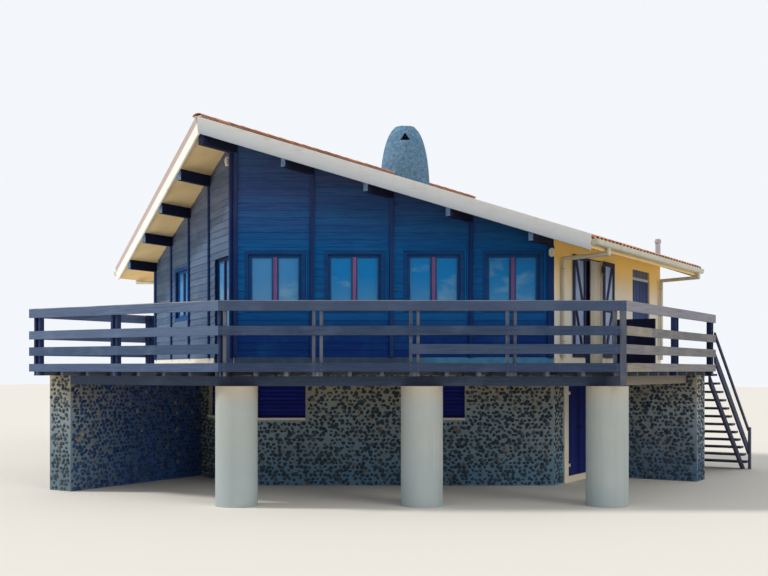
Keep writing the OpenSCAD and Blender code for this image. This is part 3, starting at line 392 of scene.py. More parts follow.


# Painted shade: the left wing's inner face, in the deck's shadow, turns deep blue between these two
# places.
SHADE_START_Y = -7.0
SHADE_FULL_Y = -5.4
left_wing_low, left_wing_high = box_ends("left_wing_wall")
right_wing_low, right_wing_high = box_ends("right_wing_wall")
inner_face_shade = ("1252a4", SHADE_START_Y, SHADE_FULL_Y, left_wing_high[0] - 0.005)
# Painted light and shade: the front walls take the shaded copy, bluish all over, the left and back
# walls the sunlit copy, and each wing wall a shaded copy of its own.
dress(shade_tinted_mortar("shade_tinted_mortar", "93a8b2", "b8a070", "4a7898"), "basement_front_wall",
      "basement_side_wall_near", "basement_side_wall_far")
dress(shade_tinted_mortar("sunlit_mortar", "9c9c94", "b8a47c", "78858c"), "basement_left_wall",
      "basement_left_side_wall", "basement_back_wall")
dress(shade_tinted_mortar("shaded_mortar", "8496a0", "b09a72", "5c7482", inner_face_shade), "left_wing_wall")
dress(shade_tinted_mortar("right_wing_shaded_mortar", "9aa4ac", "b09e7e", "406890"), "right_wing_wall")


def beach_stone(name, base, dark, low):
    """Beach pebbles, each of its own tone: mostly blue-black, a few grey or sandy, and
    bluer towards the ground in painted shade."""
    stone = Finish(name, base, roughness=0.6)
    tone = stone.attribute("tone")
    stone.mix(stone.band(tone, 0.0, 0.4, 1, 0), dark)
    stone.tint("3e5260", tone, 0.7, 0.82)
    stone.tint("6b6154", tone, 0.9, 0.94)
    stone.tint("93897a", tone, 0.97, 0.99)
    stone.tint(low, stone.along(2), 1.0, 0.1, 0.5)
    speck = stone.noise(scale=60, detail=5, roughness=0.7)
    stone.tint("747e84", speck, 0.52, 0.75, 0.35)
    stone.relief(speck, 0.003)
    return stone.done()


stone_material = beach_stone("beach_pebble", "203a4a", "10222e", "183248")
# A deep blue copy for the left wing's shaded inner face: painted shade.
shaded_stone = beach_stone("shaded_pebble", "0e3c70", "07224e", "0a3a78")

window_holes = [r[:4] for r in near_face(front_face, "basement_shutters")]
left_window_holes = [r[:4] for r in near_face(left_front_face, "basement_shutters")]
door_start, door_end = near_face(right_side_face, "door_portal")[0][:2]
wing_top = left_wing_high[2]
wing_width = left_wing_high[0] - left_wing_low[0]
wing_length = tip_y - left_wing_low[1]
right_wing_width, right_wing_length = (right_wing_high - right_wing_low)[:2]


def wing_side(corner, run, out, length):
    """The pebble field of one side of a wing wall, from a corner at its foot."""
    return WallFace(corner, run, out), 0, length, 0, wing_top, []


for name, stone, seed, fields in (
        ("basement_pebbles_front", stone_material, 11,
         [(front_face, 0.0, front_run, 0.0, stone_top, window_holes),
          (right_side_face, 0.0, side_run, 0.0, stone_top, [(door_start, door_end, -1, 3)])]),
        ("basement_pebbles_left", stone_material, 12,
         [(left_front_face, 0.0, front_run, 0.0, stone_top, left_window_holes),
          (left_side_face, 0.0, side_run, 0.0, stone_top, [])]),
        ("basement_pebbles_back", stone_material, 14,
         [(back_face, 0.0, 2 * half_width, 0.0, stone_top, [])]),
        ("wing_wall_pebbles", stone_material, 13,
         [wing_side(left_wing_low[:2], (1, 0), (0, -1), wing_width),
          wing_side(left_wing_low[:2], (0, 1), (-1, 0),
                    wing_length - left_wing_low[0] * tan_front),
          wing_side(right_wing_low[:2], (1, 0), (0, -1), right_wing_width),
          wing_side((right_wing_high[0], right_wing_low[1]), (0, 1), (1, 0), right_wing_length),
          wing_side(right_wing_high[:2], (-1, 0), (0, 1), right_wing_width)]),
        ("wing_wall_shaded_pebbles", shaded_stone, 16,
         [wing_side((left_wing_high[0], left_wing_low[1]), (0, 1), (1, 0),
                    wing_length - left_wing_high[0] * tan_front)])):
    fit_piece(pebbles(name, fields, seed), stone)


# Slabs, sills, portal and piers: poured concrete, and cement render trowelled fine over
# blockwork, painted cream or left beige. Rain has drawn faint runs down it.
def render_coat(name, base, stain, pale, grain=90, tones=()):
    """Fine trowelled render: speckled relief, cloudy tone and faint runs down the wall.
    tones holds colours, each with two heights between which the coat takes it."""
    coat = Finish(name, base, roughness=0.9)
    speck = coat.noise(scale=grain, detail=4, roughness=0.7)
    cloud = coat.noise(scale=0.9, detail=4)
    runs = coat.noise(coat.place(scale=(9, 9, 0.5)), scale=1, detail=4)
    for tone, height, full_height in tones:
        coat.tint(tone, coat.along(2), height, full_height)
    coat.tint(pale, cloud, 0.45, 0.65, 0.5)
    coat.tint(stain, runs, 0.55, 0.78, 0.35)
    coat.tint(stain, speck, 0.6, 0.8, 0.3)
    coat.relief(speck, 0.003)
    return coat.done()


slab_concrete = render_coat("slab_concrete", "5c626a", "484c52", "70767c", grain=50)
dress(slab_concrete, "floor_slab", "ground_slab")
cream_render = render_coat("cream_render", "ded6c2", "b9ae94", "ece6d6")
dress(cream_render, "door_portal", "basement_sills")
# The piers turn warm at the head, and bluer towards the ground in painted shade.
pier_render = render_coat("pier_render", "aab0ae", "989892", "b6bab6", grain=70,
                          tones=[("c6b090", 1.6, 2.1), ("a2b0b4", 1.2, 0.3)])
dress(pier_render, "piers")


# Basement doors: two painted plank leaves on iron hinges in the side wall. Upright planks
# are nailed over the leaf, with a pull ring and a latch plate on the outer side.
LEAF_BOARD = 0.105
LEAF_EDGE = 0.01
HINGE_ROOM = 0.05
LATCH_ROOM = 0.008
PULL_ROOM = 0.06
LEAF_PLANK_OUT = 0.012
LEAF_PLANK_THICK = 0.009
LATCH_HEIGHT = 1.0
LATCH_PLATE = (0.16, 0.04, 0.004)
PULL_RING = (0.028, 0.034, 0.005)
x_axis, y_axis, z_axis = np.eye(3)


def board_mesh(name, bars, ease=0.004, true=0.0015, stations=4, seed=1):
    """Sawn bars. A point is start + t * along + a * wide + b * thick, where (a, b) walks
    round a rectangle with its corners cut off, and t runs between the two cut ends. Each
    end leans by the bar's lean: metres along for a whole width and for a whole thickness.
    Inner stations shift a little across, so that no bar is quite straight."""
    draw = np.random.default_rng(seed)
    start, along, wide, thick = (np.array([bar[i] for bar in bars], float) for i in range(4))
    lean = np.array([bar[4] if len(bar) > 4 else (0, 0, 0, 0) for bar in bars], float)
    count = len(bars)
    length, width, depth = (np.linalg.norm(v, axis=1) for v in (along, wide, thick))
    cut_a = np.minimum(ease / width, 0.3)
    cut_b = np.minimum(ease / depth, 0.3)
    zero, one = np.zeros(count), np.ones(count)
    a = np.stack([cut_a, 1 - cut_a, one, one, 1 - cut_a, cut_a, zero, zero], axis=1)
    b = np.stack([zero, zero, cut_b, 1 - cut_b, one, one, 1 - cut_b, cut_b], axis=1)
    t0 = (lean[:, :1] * a + lean[:, 1:2] * b) / length[:, None]
    t1 = 1 + (lean[:, 2:3] * a + lean[:, 3:] * b) / length[:, None]
    step = np.linspace(0, 1, stations)
    t = t0[:, None, :] + (t1 - t0)[:, None, :] * step[None, :, None]
    inner = (np.abs(step * 2 - 1) < 0.99)[:, None, None]
    shift = draw.normal(0, true, (count, stations, 2, 1)) * inner
    a_at = a[:, None, :] + shift[:, :, 0] / width[:, None, None]
    b_at = b[:, None, :] + shift[:, :, 1] / depth[:, None, None]
    points = (start[:, None, None, :] + t[..., None] * along[:, None, None, :]
              + a_at[..., None] * wide[:, None, None, :] + b_at[..., None] * thick[:, None, None, :])
    rim = np.stack([a * width[:, None], b * depth[:, None]], axis=2)
    round_run = np.cumsum(np.linalg.norm(np.diff(rim, axis=1, prepend=0), axis=2), axis=1)
    slide = draw.uniform(0, 40, (count, 2))
    u = t * length[:, None, None] + slide[:, :1, None]
    v = np.broadcast_to(round_run[:, None, :] + slide[:, 1:, None], u.shape)
    sides = 8
    first = (np.arange(count)[:, None, None] * stations + np.arange(stations - 1)[:, None]) * sides
    k = np.arange(sides)
    n = (k + 1) % sides
    quads = np.stack([first + k, first + n, first + sides + n, first + sides + k], axis=3)
    near = np.arange(count)[:, None] * stations * sides + k[None, ::-1]
    far = np.arange(count)[:, None] * stations * sides + (stations - 1) * sides + k[None]
    tone = np.repeat(draw.random(count), stations * sides)
    flow = np.stack([u.ravel(), v.ravel()], axis=1)
    return solid_mesh(name, points.reshape(-1, 3), [quads.reshape(-1, 4), near, far],
                      flow=flow, tone=tone)


def fit_boards(name, bars, material, slot, body="house", stands_for=None, **cut):
    """Fits a mesh of bars as a piece. cut holds board_mesh's ease, true, stations and seed."""
    fit_piece(board_mesh(name, bars, **cut), material, body, stands_for)


def plank_row(face, s0, s1, z0, z1, out, thick, planks, joint=0.004):
    """Bars of upright planks side by side on a wall face, each half a joint in from its
    share of the width on both sides."""
    step = (s1 - s0) / planks
    return [(face.at(s0 + i * step + joint / 2, out, z0), z_axis * (z1 - z0),
             face.run * (step - joint), face.out * thick) for i in range(planks)]


def timber(name, base, dark, light, turn=None, roughness=0.82, worn=0.35, vary=0.4, shine=0.2,
           tones=()):
    """Sawn timber. Grain is noise stretched along the bar, from its UV or from the
    object's own coordinates turned to the wall; each bar's tone shifts it as a whole.
    tones holds colours, each with two heights between which the wood takes it."""
    wood = Finish(name, base, roughness=roughness, Specular_IOR_Level=shine)
    if turn is None:
        grain_place = wood.place(scale=(1.6, 34, 1), from_uv=True)
        fine_place = wood.place(scale=(5, 150, 1), from_uv=True)
    else:
        grain_place = wood.place(scale=(1.6, 34, 34), turn=turn)
        fine_place = wood.place(scale=(5, 150, 150), turn=turn)
    grain = wood.noise(grain_place, scale=1, detail=5, roughness=0.6, distortion=0.8)
    fine = wood.noise(fine_place, scale=1, detail=3, roughness=0.6)
    for shade, height, full_height in tones:
        wood.tint(shade, wood.along(2), height, full_height)
    wood.tint(dark, grain, 0.42, 0.7, 0.8)
    wood.tint(light, fine, 0.55, 0.75, worn)
    if turn is None:
        tone = wood.attribute("tone")
        wood.tint(light, tone, 0.6, 1.0, vary)
        wood.tint(dark, tone, 0.35, 0.0, vary)
    blotch = wood.noise(scale=1.7, detail=4)
    wood.tint(light, blotch, 0.52, 0.7, worn)
    wood.relief(grain, 0.004)
    wood.relief(fine, 0.0015)
    return wood.done()


def rings_mesh(name, hoops, around=20):
    """Closed hoops of round rod. A hoop's middle line is centre + u * cos(q) + v * sin(q),
    and its skin stands off that line by the rod's radius, outwards by cos(p) and sideways
    by sin(p)."""
    rod_sides = 8
    centre, u, v = (np.array([hoop[i] for hoop in hoops], float) for i in range(3))
    rod = np.array([hoop[3] for hoop in hoops], float)
    q = np.arange(around) / around * 2 * np.pi
    p = np.arange(rod_sides) / rod_sides * 2 * np.pi
    unit_u, unit_v = (w / np.linalg.norm(w, axis=1)[:, None] for w in (u, v))
    side = np.cross(unit_u, unit_v)
    outward = (unit_u[:, None] * np.cos(q)[None, :, None]
               + unit_v[:, None] * np.sin(q)[None, :, None])
    line = (centre[:, None] + u[:, None] * np.cos(q)[None, :, None]
            + v[:, None] * np.sin(q)[None, :, None])
    skin = (line[:, :, None] + rod[:, None, None, None]
            * (outward[:, :, None] * np.cos(p)[None, None, :, None]
               + side[:, None, None] * np.sin(p)[None, None, :, None]))
    i, j = np.meshgrid(np.arange(around), np.arange(rod_sides), indexing="ij")
    ahead, beside = (i + 1) % around, (j + 1) % rod_sides
    quad = np.stack([i * rod_sides + j, ahead * rod_sides + j, ahead * rod_sides + beside,
                     i * rod_sides + beside], axis=2).reshape(-1, 4)
    size = around * rod_sides
    faces = (np.arange(len(hoops))[:, None, None] * size + quad[None]).reshape(-1, 4)
    return solid_mesh(name, skin.reshape(-1, 3), [faces], smooth=True)


def mottled(name, base, patch, scale, low, high, depth=0.001, amount=1.0, detail=4,
            stretch=(1, 1, 1), distortion=0.0, **shader):
    """A finish with patches of a second colour where a noise rises from low to high, and a
    bump of that depth from the same noise."""
    finish = Finish(name, base, **shader)
    noise = finish.noise(finish.place(scale=stretch), scale=scale, detail=detail,
                         distortion=distortion)
    finish.tint(patch, noise, low, high, amount)
    if depth:
        finish.relief(noise, depth)
    return finish.done()


door_paint = timber("door_paint", "162068", "0c144a", "2c3880", roughness=0.55, worn=0.15)
door_core = timber("door_core_paint", "141c5a", "0c123e", "28306c", turn=math.radians(90),
                   roughness=0.55, worn=0.15)
painted_iron = mottled("painted_iron", "1b1c22", "3d3230", 30, 0.5, 0.75, roughness=0.45,
                       Metallic=0.5)
for leaf, body, hinge_room, latch_room in (
        ("door_leaf_near", "near_leaf", HINGE_ROOM, LATCH_ROOM),
        ("door_leaf_far", "far_leaf", LATCH_ROOM, HINGE_ROOM)):
    dress(door_core, leaf)
    leaf_low, leaf_high = box_ends(leaf)
    s0 = leaf_low[1] - shoulder_y + hinge_room
    s1 = leaf_high[1] - shoulder_y - latch_room
    planks = plank_row(right_side_face, s0, s1, leaf_low[2] + LEAF_EDGE, leaf_high[2] - LEAF_EDGE,
                       LEAF_PLANK_OUT, LEAF_PLANK_THICK, int(round((s1 - s0) / LEAF_BOARD)))
    fit_boards(leaf + "_planks", planks, door_paint, "blue_shutter", body, ease=0.002,
               true=0.0004, seed=54)
    pull = s1 - PULL_ROOM if body == "near_leaf" else s0 + PULL_ROOM
    high, wide, thick = LATCH_PLATE
    plate = [(right_side_face.at(pull - wide / 2, LEAF_PLANK_OUT + LEAF_PLANK_THICK, LATCH_HEIGHT),
              z_axis * high, y_axis * wide, x_axis * thick)]
    fit_boards(leaf + "_latch_plate", plate, painted_iron, "blue_shutter", body, ease=0.002,
               true=0, seed=55)
    half_wide, half_high, rod = PULL_RING
    ring = [(right_side_face.at(pull, LEAF_PLANK_OUT + 0.022, LATCH_HEIGHT + 0.07),
             y_axis * half_wide, z_axis * half_high, rod)]
    fit_piece(rings_mesh(leaf + "_pull_ring", ring), painted_iron, body)


# Basement shutters: dark blue slatted shutters, closed in the three small openings of
# the pebble wall. Level slats, each a little out at its foot to shed the rain.
SLAT_PITCH = 0.074
SLAT_JOINT = 0.006


def node_faces(node, points):
    """Areas and directions of the flat faces of one solid, the largest first."""
    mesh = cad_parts[node].data
    low, high = points.min(axis=0) - 1e-4, points.max(axis=0) + 1e-4
    found = {}
    for triangle in mesh.loop_triangles:
        centre = np.array(triangle.center)
        if (centre < low).any() or (centre > high).any():
            continue
        corner = np.round(np.array(mesh.vertices[triangle.vertices[0]].co), 5)
        if np.abs(points - corner).sum(axis=1).min() > 3e-5:
            continue
        normal = np.array(triangle.normal)
        key = tuple(np.round(normal * np.sign(normal[np.abs(normal).argmax()]), 2))
        area, way = found.get(key, (0.0, normal))
        found[key] = (area + triangle.area, way)
    return sorted(found.values(), key=lambda item: -item[0])


def bars_of(node, upright=False):
    """Bars that match the separate solids of a node. The two widest pairs of faces give a
    bar's thickness and width directions, their cross product its run, and a plane is fitted
    to the points of each end for its lean."""
    bars = []
    for points in loose_solids(node):
        middle = points.mean(axis=0)
        flat = node_faces(node, points)
        thick_way = flat[0][1]
        if upright:
            wide_way = np.cross(thick_way, z_axis)
        else:
            wide_way = [way for area, way in flat if abs(way @ thick_way) < 0.2][0]
        wide_way = wide_way / np.linalg.norm(wide_way)
        run = np.cross(thick_way, wide_way)
        run = run / np.linalg.norm(run)
        r, w, h = ((points - middle) @ way for way in (run, wide_way, thick_way))
        fits = []
        for side in (-1, 1):
            end = r * side > 0
            table = np.stack([np.ones(end.sum()), w[end], h[end]], axis=1)
            fits.append(np.linalg.lstsq(table, r[end], rcond=None)[0])
        width, depth = np.ptp(w), np.ptp(h)
        w0, h0 = w.min(), h.min()
        r0, r1 = (fit @ (1, w0, h0) for fit in fits)
        start = middle + run * r0 + wide_way * w0 + thick_way * h0
        lean = (fits[0][1] * width, fits[0][2] * depth, fits[1][1] * width, fits[1][2] * depth)
        bars.append((start, run * (r1 - r0), wide_way * width, thick_way * depth, lean))
    return bars


def slat_rows(face, s0, s1, z0, z1, out0, out1):
    """Bars of level slats between two heights, each tipped outwards by a sixth of its room."""
    rows = max(int(round((z1 - z0) / SLAT_PITCH)), 1)
    step = (z1 - z0) / rows
    tip = (out1 - out0) / 6
    return [(face.at(s0, out0 + tip, z0 + i * step + SLAT_JOINT / 2), face.run * (s1 - s0),
             z_axis * (step - SLAT_JOINT) - face.out * tip, face.out * (out1 - out0 - tip))
            for i in range(rows)]


dark_blue = timber("dark_blue_board_paint", "081878", "06105a", "182888", roughness=0.6, worn=0.15)
low_slats = []
for face in (front_face, left_front_face):
    for s0, s1, z0, z1, out0, out1 in near_face(face, "basement_shutters"):
        low_slats += slat_rows(face, s0 + 0.002, s1 - 0.002, z0, z1, out0, out1)
fit_boards("basement_shutter_slats", low_slats, dark_blue, "blue_shutter",
           stands_for="basement_shutters", true=0.0005, seed=51)


# Side and back walls: blockwork with a cream-yellow render, trowelled fine. It turns
# greyer towards its foot. A painted plinth band runs round it.
PLINTH_SHADE_END = 3.3
PLINTH_BLUE_START = 3.9
wall_render = render_coat("yellow_cream_render", "ffd678", "f6c064", "ffe09a",
                          tones=[("d6c8b2", 4.4, 3.95), ("cccdc9", 3.95, 3.5)])
dress(wall_render, "right_side_wall", "left_side_wall", "back_wall")
plinth = render_coat("plinth_render", "d9d3c6", "a9a493", "e6e1d6")
dress(plinth, "wall_base_strip")
strip_top = box_ends("wall_base_strip")[1][2]
plinth_face = max(r[5] for r in near_face(front_face, "wall_base_strip"))
plinth_start = tip_y * sin_front
# Painted shade: along the front the cream plinth lies in shade, so a thin blue sheet covers it,
# darker still towards the tip.
plinth_shade_coat = Finish("front_plinth_painted_shade", "3f86b0", roughness=0.6)
plinth_noise = plinth_shade_coat.noise(scale=5, detail=4)
plinth_shade = plinth_shade_coat.band(plinth_shade_coat.along(0, turn=front_angle),
                                 plinth_start + PLINTH_SHADE_END,
                                 plinth_start + PLINTH_BLUE_START, 1, 0)
plinth_shade_coat.mix(plinth_shade, "27405c")
plinth_shade_coat.tint("3a5f7c", plinth_noise, 0.5, 0.72, 0.5)
plinth_shade_coat.relief(plinth_noise, 0.001)
plinth_shade_sheet = [(front_face.at(0.022, plinth_face, floor_z + 0.004),
                 front_face.run * (front_run - 0.03), z_axis * (strip_top - floor_z - 0.006),
                 front_face.out * 0.006)]
fit_boards("front_plinth_shade_sheet", plinth_shade_sheet, plinth_shade_coat.done(), "cream_render", true=0, seed=56)


# Dark siding: stained boards lapped over each other on the two slanted fronts, bay by
# bay between the posts, cut round the windows and under the roof.
SIDING_PITCH = 0.14
SIDING_LAP = 0.012
SIDING_LEAN = 0.012
SIDING_OUT = 0.016
SIDING_THICK = 0.010
LEAST_CUT = 0.02
STRIP_BOARDS = 3
STRIP_STEP = 0.042
STRIP_JOINT = 0.006
ridge_z = box_ends("front_wall")[1][2]
roof_low, roof_high = box_ends("roof_right")
roof_thick = roof_high[2] - ridge_z
roof_slope = (ridge_z - roof_low[2]) / roof_high[0]


def cut_round(span, holes):
    """What is left of a span of wall, two places along it and two heights, at the sides
    of the openings and over and under them."""
    spans = [span]
    for h0, h1, g0, g1 in holes:
        cut = []
        for s0, s1, a0, a1 in spans:
            if h1 <= s0 or h0 >= s1 or g1 <= a0 or g0 >= a1:
                cut.append((s0, s1, a0, a1))
                continue
            if h0 > s0:
                cut.append((s0, h0, a0, a1))
            if h1 < s1:
                cut.append((h1, s1, a0, a1))
            middle = (max(s0, h0), min(s1, h1))
            if g0 - a0 > LEAST_CUT:
                cut.append((*middle, a0, g0))
            if a1 - g1 > LEAST_CUT:
                cut.append((*middle, g1, a1))
        spans = cut
    return spans


def lapped_boards(face, holes):
    """Bars of lapped siding, bay by bay between the posts. Each row leans in at its head
    under the row above, and stops at the posts, at the openings and where the roof's
    underside comes down to it."""
    bars = []
    posts = near_face(face, "wall_posts")
    heights = [strip_top + row * SIDING_PITCH
               for row in range(int((ridge_z - strip_top) / SIDING_PITCH) + 1)]
    for last_post, next_post in zip(posts, posts[1:]):
        for z0 in heights:
            z1 = z0 + SIDING_PITCH
            for s0, s1, a0, a1 in cut_round((last_post[1], next_post[0], z0, z1), holes):
                lap = SIDING_LAP if a1 == z1 else 0
                low_end, high_end = (min(s1, (ridge_z - z) / roof_slope / cos_front)
                                     for z in (a0, a1 + lap))
                high_end = max(high_end, s0 + 0.01)
                if low_end < s0 + 0.03:
                    continue
                height = a1 - a0 + lap
                out = SIDING_OUT - SIDING_LEAN * (a0 - z0) / SIDING_PITCH
                wide = z_axis * height - face.out * SIDING_LEAN * height / SIDING_PITCH
                bars.append((face.at(s0, out, a0), face.run * (low_end - s0), wide,
                             face.out * SIDING_THICK, (0, 0, high_end - low_end, 0)))
    return bars


front_trim = near_face(front_face, "window_trim")
left_trim = near_face(left_front_face, "window_trim")
left_door = near_face(left_front_face, "glazed_doors")
front_holes = [r[:4] for r in front_trim]
left_holes = [r[:4] for r in left_trim + left_door]
strips = []
for s0, s1, z0, z1, out0, out1 in front_trim:
    strips_end = s1 + STRIP_BOARDS * STRIP_STEP
    front_holes.append((s1, strips_end, z0, z1))
    strips += plank_row(front_face, s1 + STRIP_JOINT / 2, strips_end + STRIP_JOINT / 2, z0, z1,
                        0.002, 0.024, STRIP_BOARDS, STRIP_JOINT)
# Painted light and shade: the front siding is the shaded copy, a deep blue, and the left front the
# sunlit one. Both turn greyer towards the head under the eave in painted light, and the front darkens
# towards its foot in painted shade.
front_siding = timber("shaded_stained_siding", "065a9c", "083a70", "2474a8", roughness=0.7,
                      worn=0.14, vary=0.14, shine=0.1,
                      tones=[("404e7c", 4.5, 5.7), ("082a72", 3.3, 2.9)])
left_siding = timber("sunlit_stained_siding", "4a617e", "334660", "687c94", roughness=0.75,
                     worn=0.25, vary=0.3, tones=[("666a7a", 4.6, 5.6)])
for name, face, holes, stain, seed in (
        ("front_siding", front_face, front_holes, front_siding, 41),
        ("left_front_siding", left_front_face, left_holes, left_siding, 42)):
    fit_boards(name, lapped_boards(face, holes), stain, "dark_boards", ease=0.002, true=0.0006,
               seed=seed)
wall_backing = timber("dark_wall_backing", "0f2a58", "0a1c40", "1e3c66", turn=front_angle)
dress(wall_backing, "front_wall", "left_front_wall")
fit_boards("window_side_strips", strips, front_siding, "dark_boards", ease=0.003, true=0.0005,
           seed=44)
# The posts take the same painted light towards the head.
post_wood = timber("dark_post_timber", "10306a", "0a1d4a", "2c4878", worn=0.2,
                   tones=[("343c62", 4.6, 5.6)])
fit_boards("bay_post_timber", bars_of("wall_posts"), post_wood, "dark_beams",
           stands_for="wall_posts", seed=43)


# Windows and glazed doors: painted frames with a flat trim round them and a wide cover
# strip down the middle, where the two lights meet. The glass is painted with a reflection of the sky.
COVER_WIDTH = 0.07
COVER_SHORT = 0.05
BEAD = 0.016
DOOR_PANE_EDGE = 0.38
trim_wood = timber("dark_trim_timber", "0c447c", "0a2c5c", "205c94", turn=front_angle, worn=0.2)
dress(trim_wood, "window_trim")
for name, base, patch, node in (("window_joinery_paint", "0e4480", "18508c", "window_frames"),
                                ("door_joinery_paint", "0c2450", "122e60", "glazed_doors")):
    dress(mottled(name, base, patch, 14, 0.45, 0.7, detail=5, stretch=(1, 1, 0.3),
                  roughness=0.6, Specular_IOR_Level=0.15), node)
glass = Finish("window_glass", "0880c8", roughness=0.1, Specular_IOR_Level=0.15)
# Painted reflection: sky-blue glass, paler for some windows and towards the foot, with clouds.
cloud_reflection = glass.noise(glass.place(scale=(1, 1, 2)), scale=1.3, detail=4)
glass.tint("6ea4d0", glass.along(0), 1.6, 0.6, 0.4)
glass.tint("7caec8", glass.along(2), 4.0, 3.3, 0.4)
glass.tint("92b8c8", cloud_reflection, 0.54, 0.7, 0.45)
side_panes = glass.band(glass.count("ABSOLUTE", glass.along(0)), half_width - 0.2, half_width - 0.15)
glass.mix(side_panes, "0c1230")
glass.relief(glass.noise(scale=3, detail=2), 0.0006)
dress(glass.done(), "window_glass")
frame_foot = box_ends("window_frames")[0][2]
mauve = ("7e5688", "624474", "946c90")
for name, face, nodes, shades in (
        ("front_cover_strips", front_face, ["window_frames"], mauve),
        ("left_cover_strips", left_front_face, ["window_frames", "glazed_doors"],
         ("3c2a58", "2a1f48", "54406c")),
        ("back_cover_strips", back_face, ["window_frames"], mauve)):
    covers = []
    for s0, s1, z0, z1, out0, out1 in [r for node in nodes for r in near_face(face, node)]:
        foot = max(z0, frame_foot) + COVER_SHORT
        covers.append((face.at((s0 + s1 - COVER_WIDTH) / 2, out1 + 0.0005, foot),
                       z_axis * (z1 - COVER_SHORT - foot), face.run * COVER_WIDTH,
                       face.out * 0.014))
    cover_paint = timber(name + "_paint", *shades, roughness=0.5, worn=0.2)
    fit_boards(name, covers, cover_paint, "red_joinery", ease=0.003, true=0.0004, seed=45)
beads = []
for face in (front_face, left_front_face, back_face):
    for s0, s1, z0, z1, out0, out1 in near_face(face, "window_glass"):
        for s in (s0, s1 - BEAD):
            beads.append((face.at(s, out1, z0), z_axis * (z1 - z0), face.run * BEAD,
                          face.out * 0.01))
        for z in (z0, z1 - BEAD):
            beads.append((face.at(s0 + BEAD, out1, z), face.run * (s1 - s0 - 2 * BEAD),
                          z_axis * BEAD, face.out * 0.01))
bead_paint = timber("glazing_bead_paint", "3f80b0", "2c6694", "5c9ac4", roughness=0.5, worn=0.2)
fit_boards("glazing_beads", beads, bead_paint, "red_joinery", ease=0.002, true=0, stations=2,
           seed=57)
door_panels = []
for face in (right_side_face, left_side_face):
    for s0, s1, z0, z1, out0, out1 in near_face(face, "glazed_doors"):
        door_panels += plank_row(face, s0 + DOOR_PANE_EDGE, s1 - 0.02, z0 + 0.02, z1 - 0.03,
                                 out1 + 0.004, 0.024, 5)
panel_paint = timber("cream_door_paint", "bab5a5", "9c978b", "d0cabb", roughness=0.6, worn=0.2)
fit_boards("side_door_panels", door_panels, panel_paint, "cream_render", ease=0.003, true=0.0004,
           seed=46)


# Side shutters: two pale blue plank leaves folded back beside each side door, with dark
# ledges, edge battens and braces. The leaf behind them is closed: dark upright boards
# with a pale bar across.
BATTEN = 0.095
BATTEN_THICK = 0.02
BRACE_THICK = 0.018
HOOK_RING = 0.085
HOOK_ROD = 0.016
PALE_BAR_HEIGHT = 4.255
PALE_BAR_WIDTH = 0.06


def braced_leaf(face, s0, s1, z0, z1, thick, lean):
    """Bars of one leaf: its planks, then its edge battens, three ledges and two braces,
    which rise along the wall for lean 1 and fall for lean -1."""
    boards = plank_row(face, s0, s1, z0, z1, 0.002, thick - 0.004, 5)
    out = thick - 0.001
    battens = [(face.at(s, out, z0), z_axis * (z1 - z0), face.run * BATTEN, face.out * BATTEN_THICK)
               for s in (s0, s1 - BATTEN)]
    a, b = s0 + BATTEN + 0.001, s1 - BATTEN - 0.001
    half = (z0 + z1) / 2
    battens += [(face.at(a, out, z), face.run * (b - a), z_axis * BATTEN, face.out * BATTEN_THICK)
                for z in (z0, half - BATTEN / 2, z1 - BATTEN)]
    for foot, head in ((z0 + BATTEN, half - BATTEN / 2), (half + BATTEN / 2, z1 - BATTEN)):
        first, last = (a, b - BATTEN) if lean > 0 else (b - BATTEN, a)
        battens.append((face.at(first, out, foot), face.run * (last - first) + z_axis * (head - foot),
                        face.run * BATTEN, face.out * BRACE_THICK))
    return boards, battens


pale_boards, dark_battens, hook_rings, closed_boards, pale_bars = [], [], [], [], []
for face in (right_side_face, left_side_face):
    leaves = near_face(face, "open_shutters")
    for lean, (s0, s1, z0, z1, out0, out1) in zip((-1, 1), leaves):
        boards, battens = braced_leaf(face, s0, s1, z0, z1, out1 - 0.022, lean)
        pale_boards += boards
        dark_battens += battens
    s0, s1, z0, z1, out0, out1 = leaves[1]
    hook_rings.append((face.at(s0 - 0.01, out1 - 0.01, z1 - 0.18), face.run * HOOK_RING,
                       z_axis * HOOK_RING, HOOK_ROD))
    s0, s1, z0, z1, out0, out1 = near_face(face, "closed_shutters")[0]
    closed_boards += plank_row(face, s0, s1, z0, z1, out0, out1 - out0, 6, joint=0.006)
    pale_bars.append((face.at(s0 + 0.01, out1, PALE_BAR_HEIGHT), face.run * (s1 - s0 - 0.02),
                      z_axis * PALE_BAR_WIDTH, face.out * 0.016))
pale_blue = timber("pale_shutter_paint", "93a5cc", "7388b4", "b4c2dc", roughness=0.6, worn=0.3)
batten_paint = timber("dark_batten_paint", "181c3c", "101228", "2a3054", roughness=0.6, worn=0.2)
closed_blue = timber("closed_shutter_paint", "1e366c", "13234e", "385488", roughness=0.6,
                     worn=0.25, tones=[("636a70", 4.26, 4.32)])
bar_paint = timber("pale_bar_paint", "aeb9ba", "8f9ba0", "c8cfcc", roughness=0.6)
fit_boards("shutter_planks", pale_boards, pale_blue, "pale_shutter", stands_for="open_shutters",
           ease=0.002, true=0.0005, seed=47)
fit_boards("shutter_battens", dark_battens, batten_paint, "pale_shutter", ease=0.002, true=0.0003,
           seed=48)
fit_piece(rings_mesh("shutter_hook_rings", hook_rings), painted_iron)
fit_boards("closed_shutter_boards", closed_boards, closed_blue, "blue_shutter",
           stands_for="closed_shutters", ease=0.006, true=0.0006, seed=52)
fit_boards("closed_shutter_bars", pale_bars, bar_paint, "blue_shutter", ease=0.003, true=0.0004,
           seed=49)


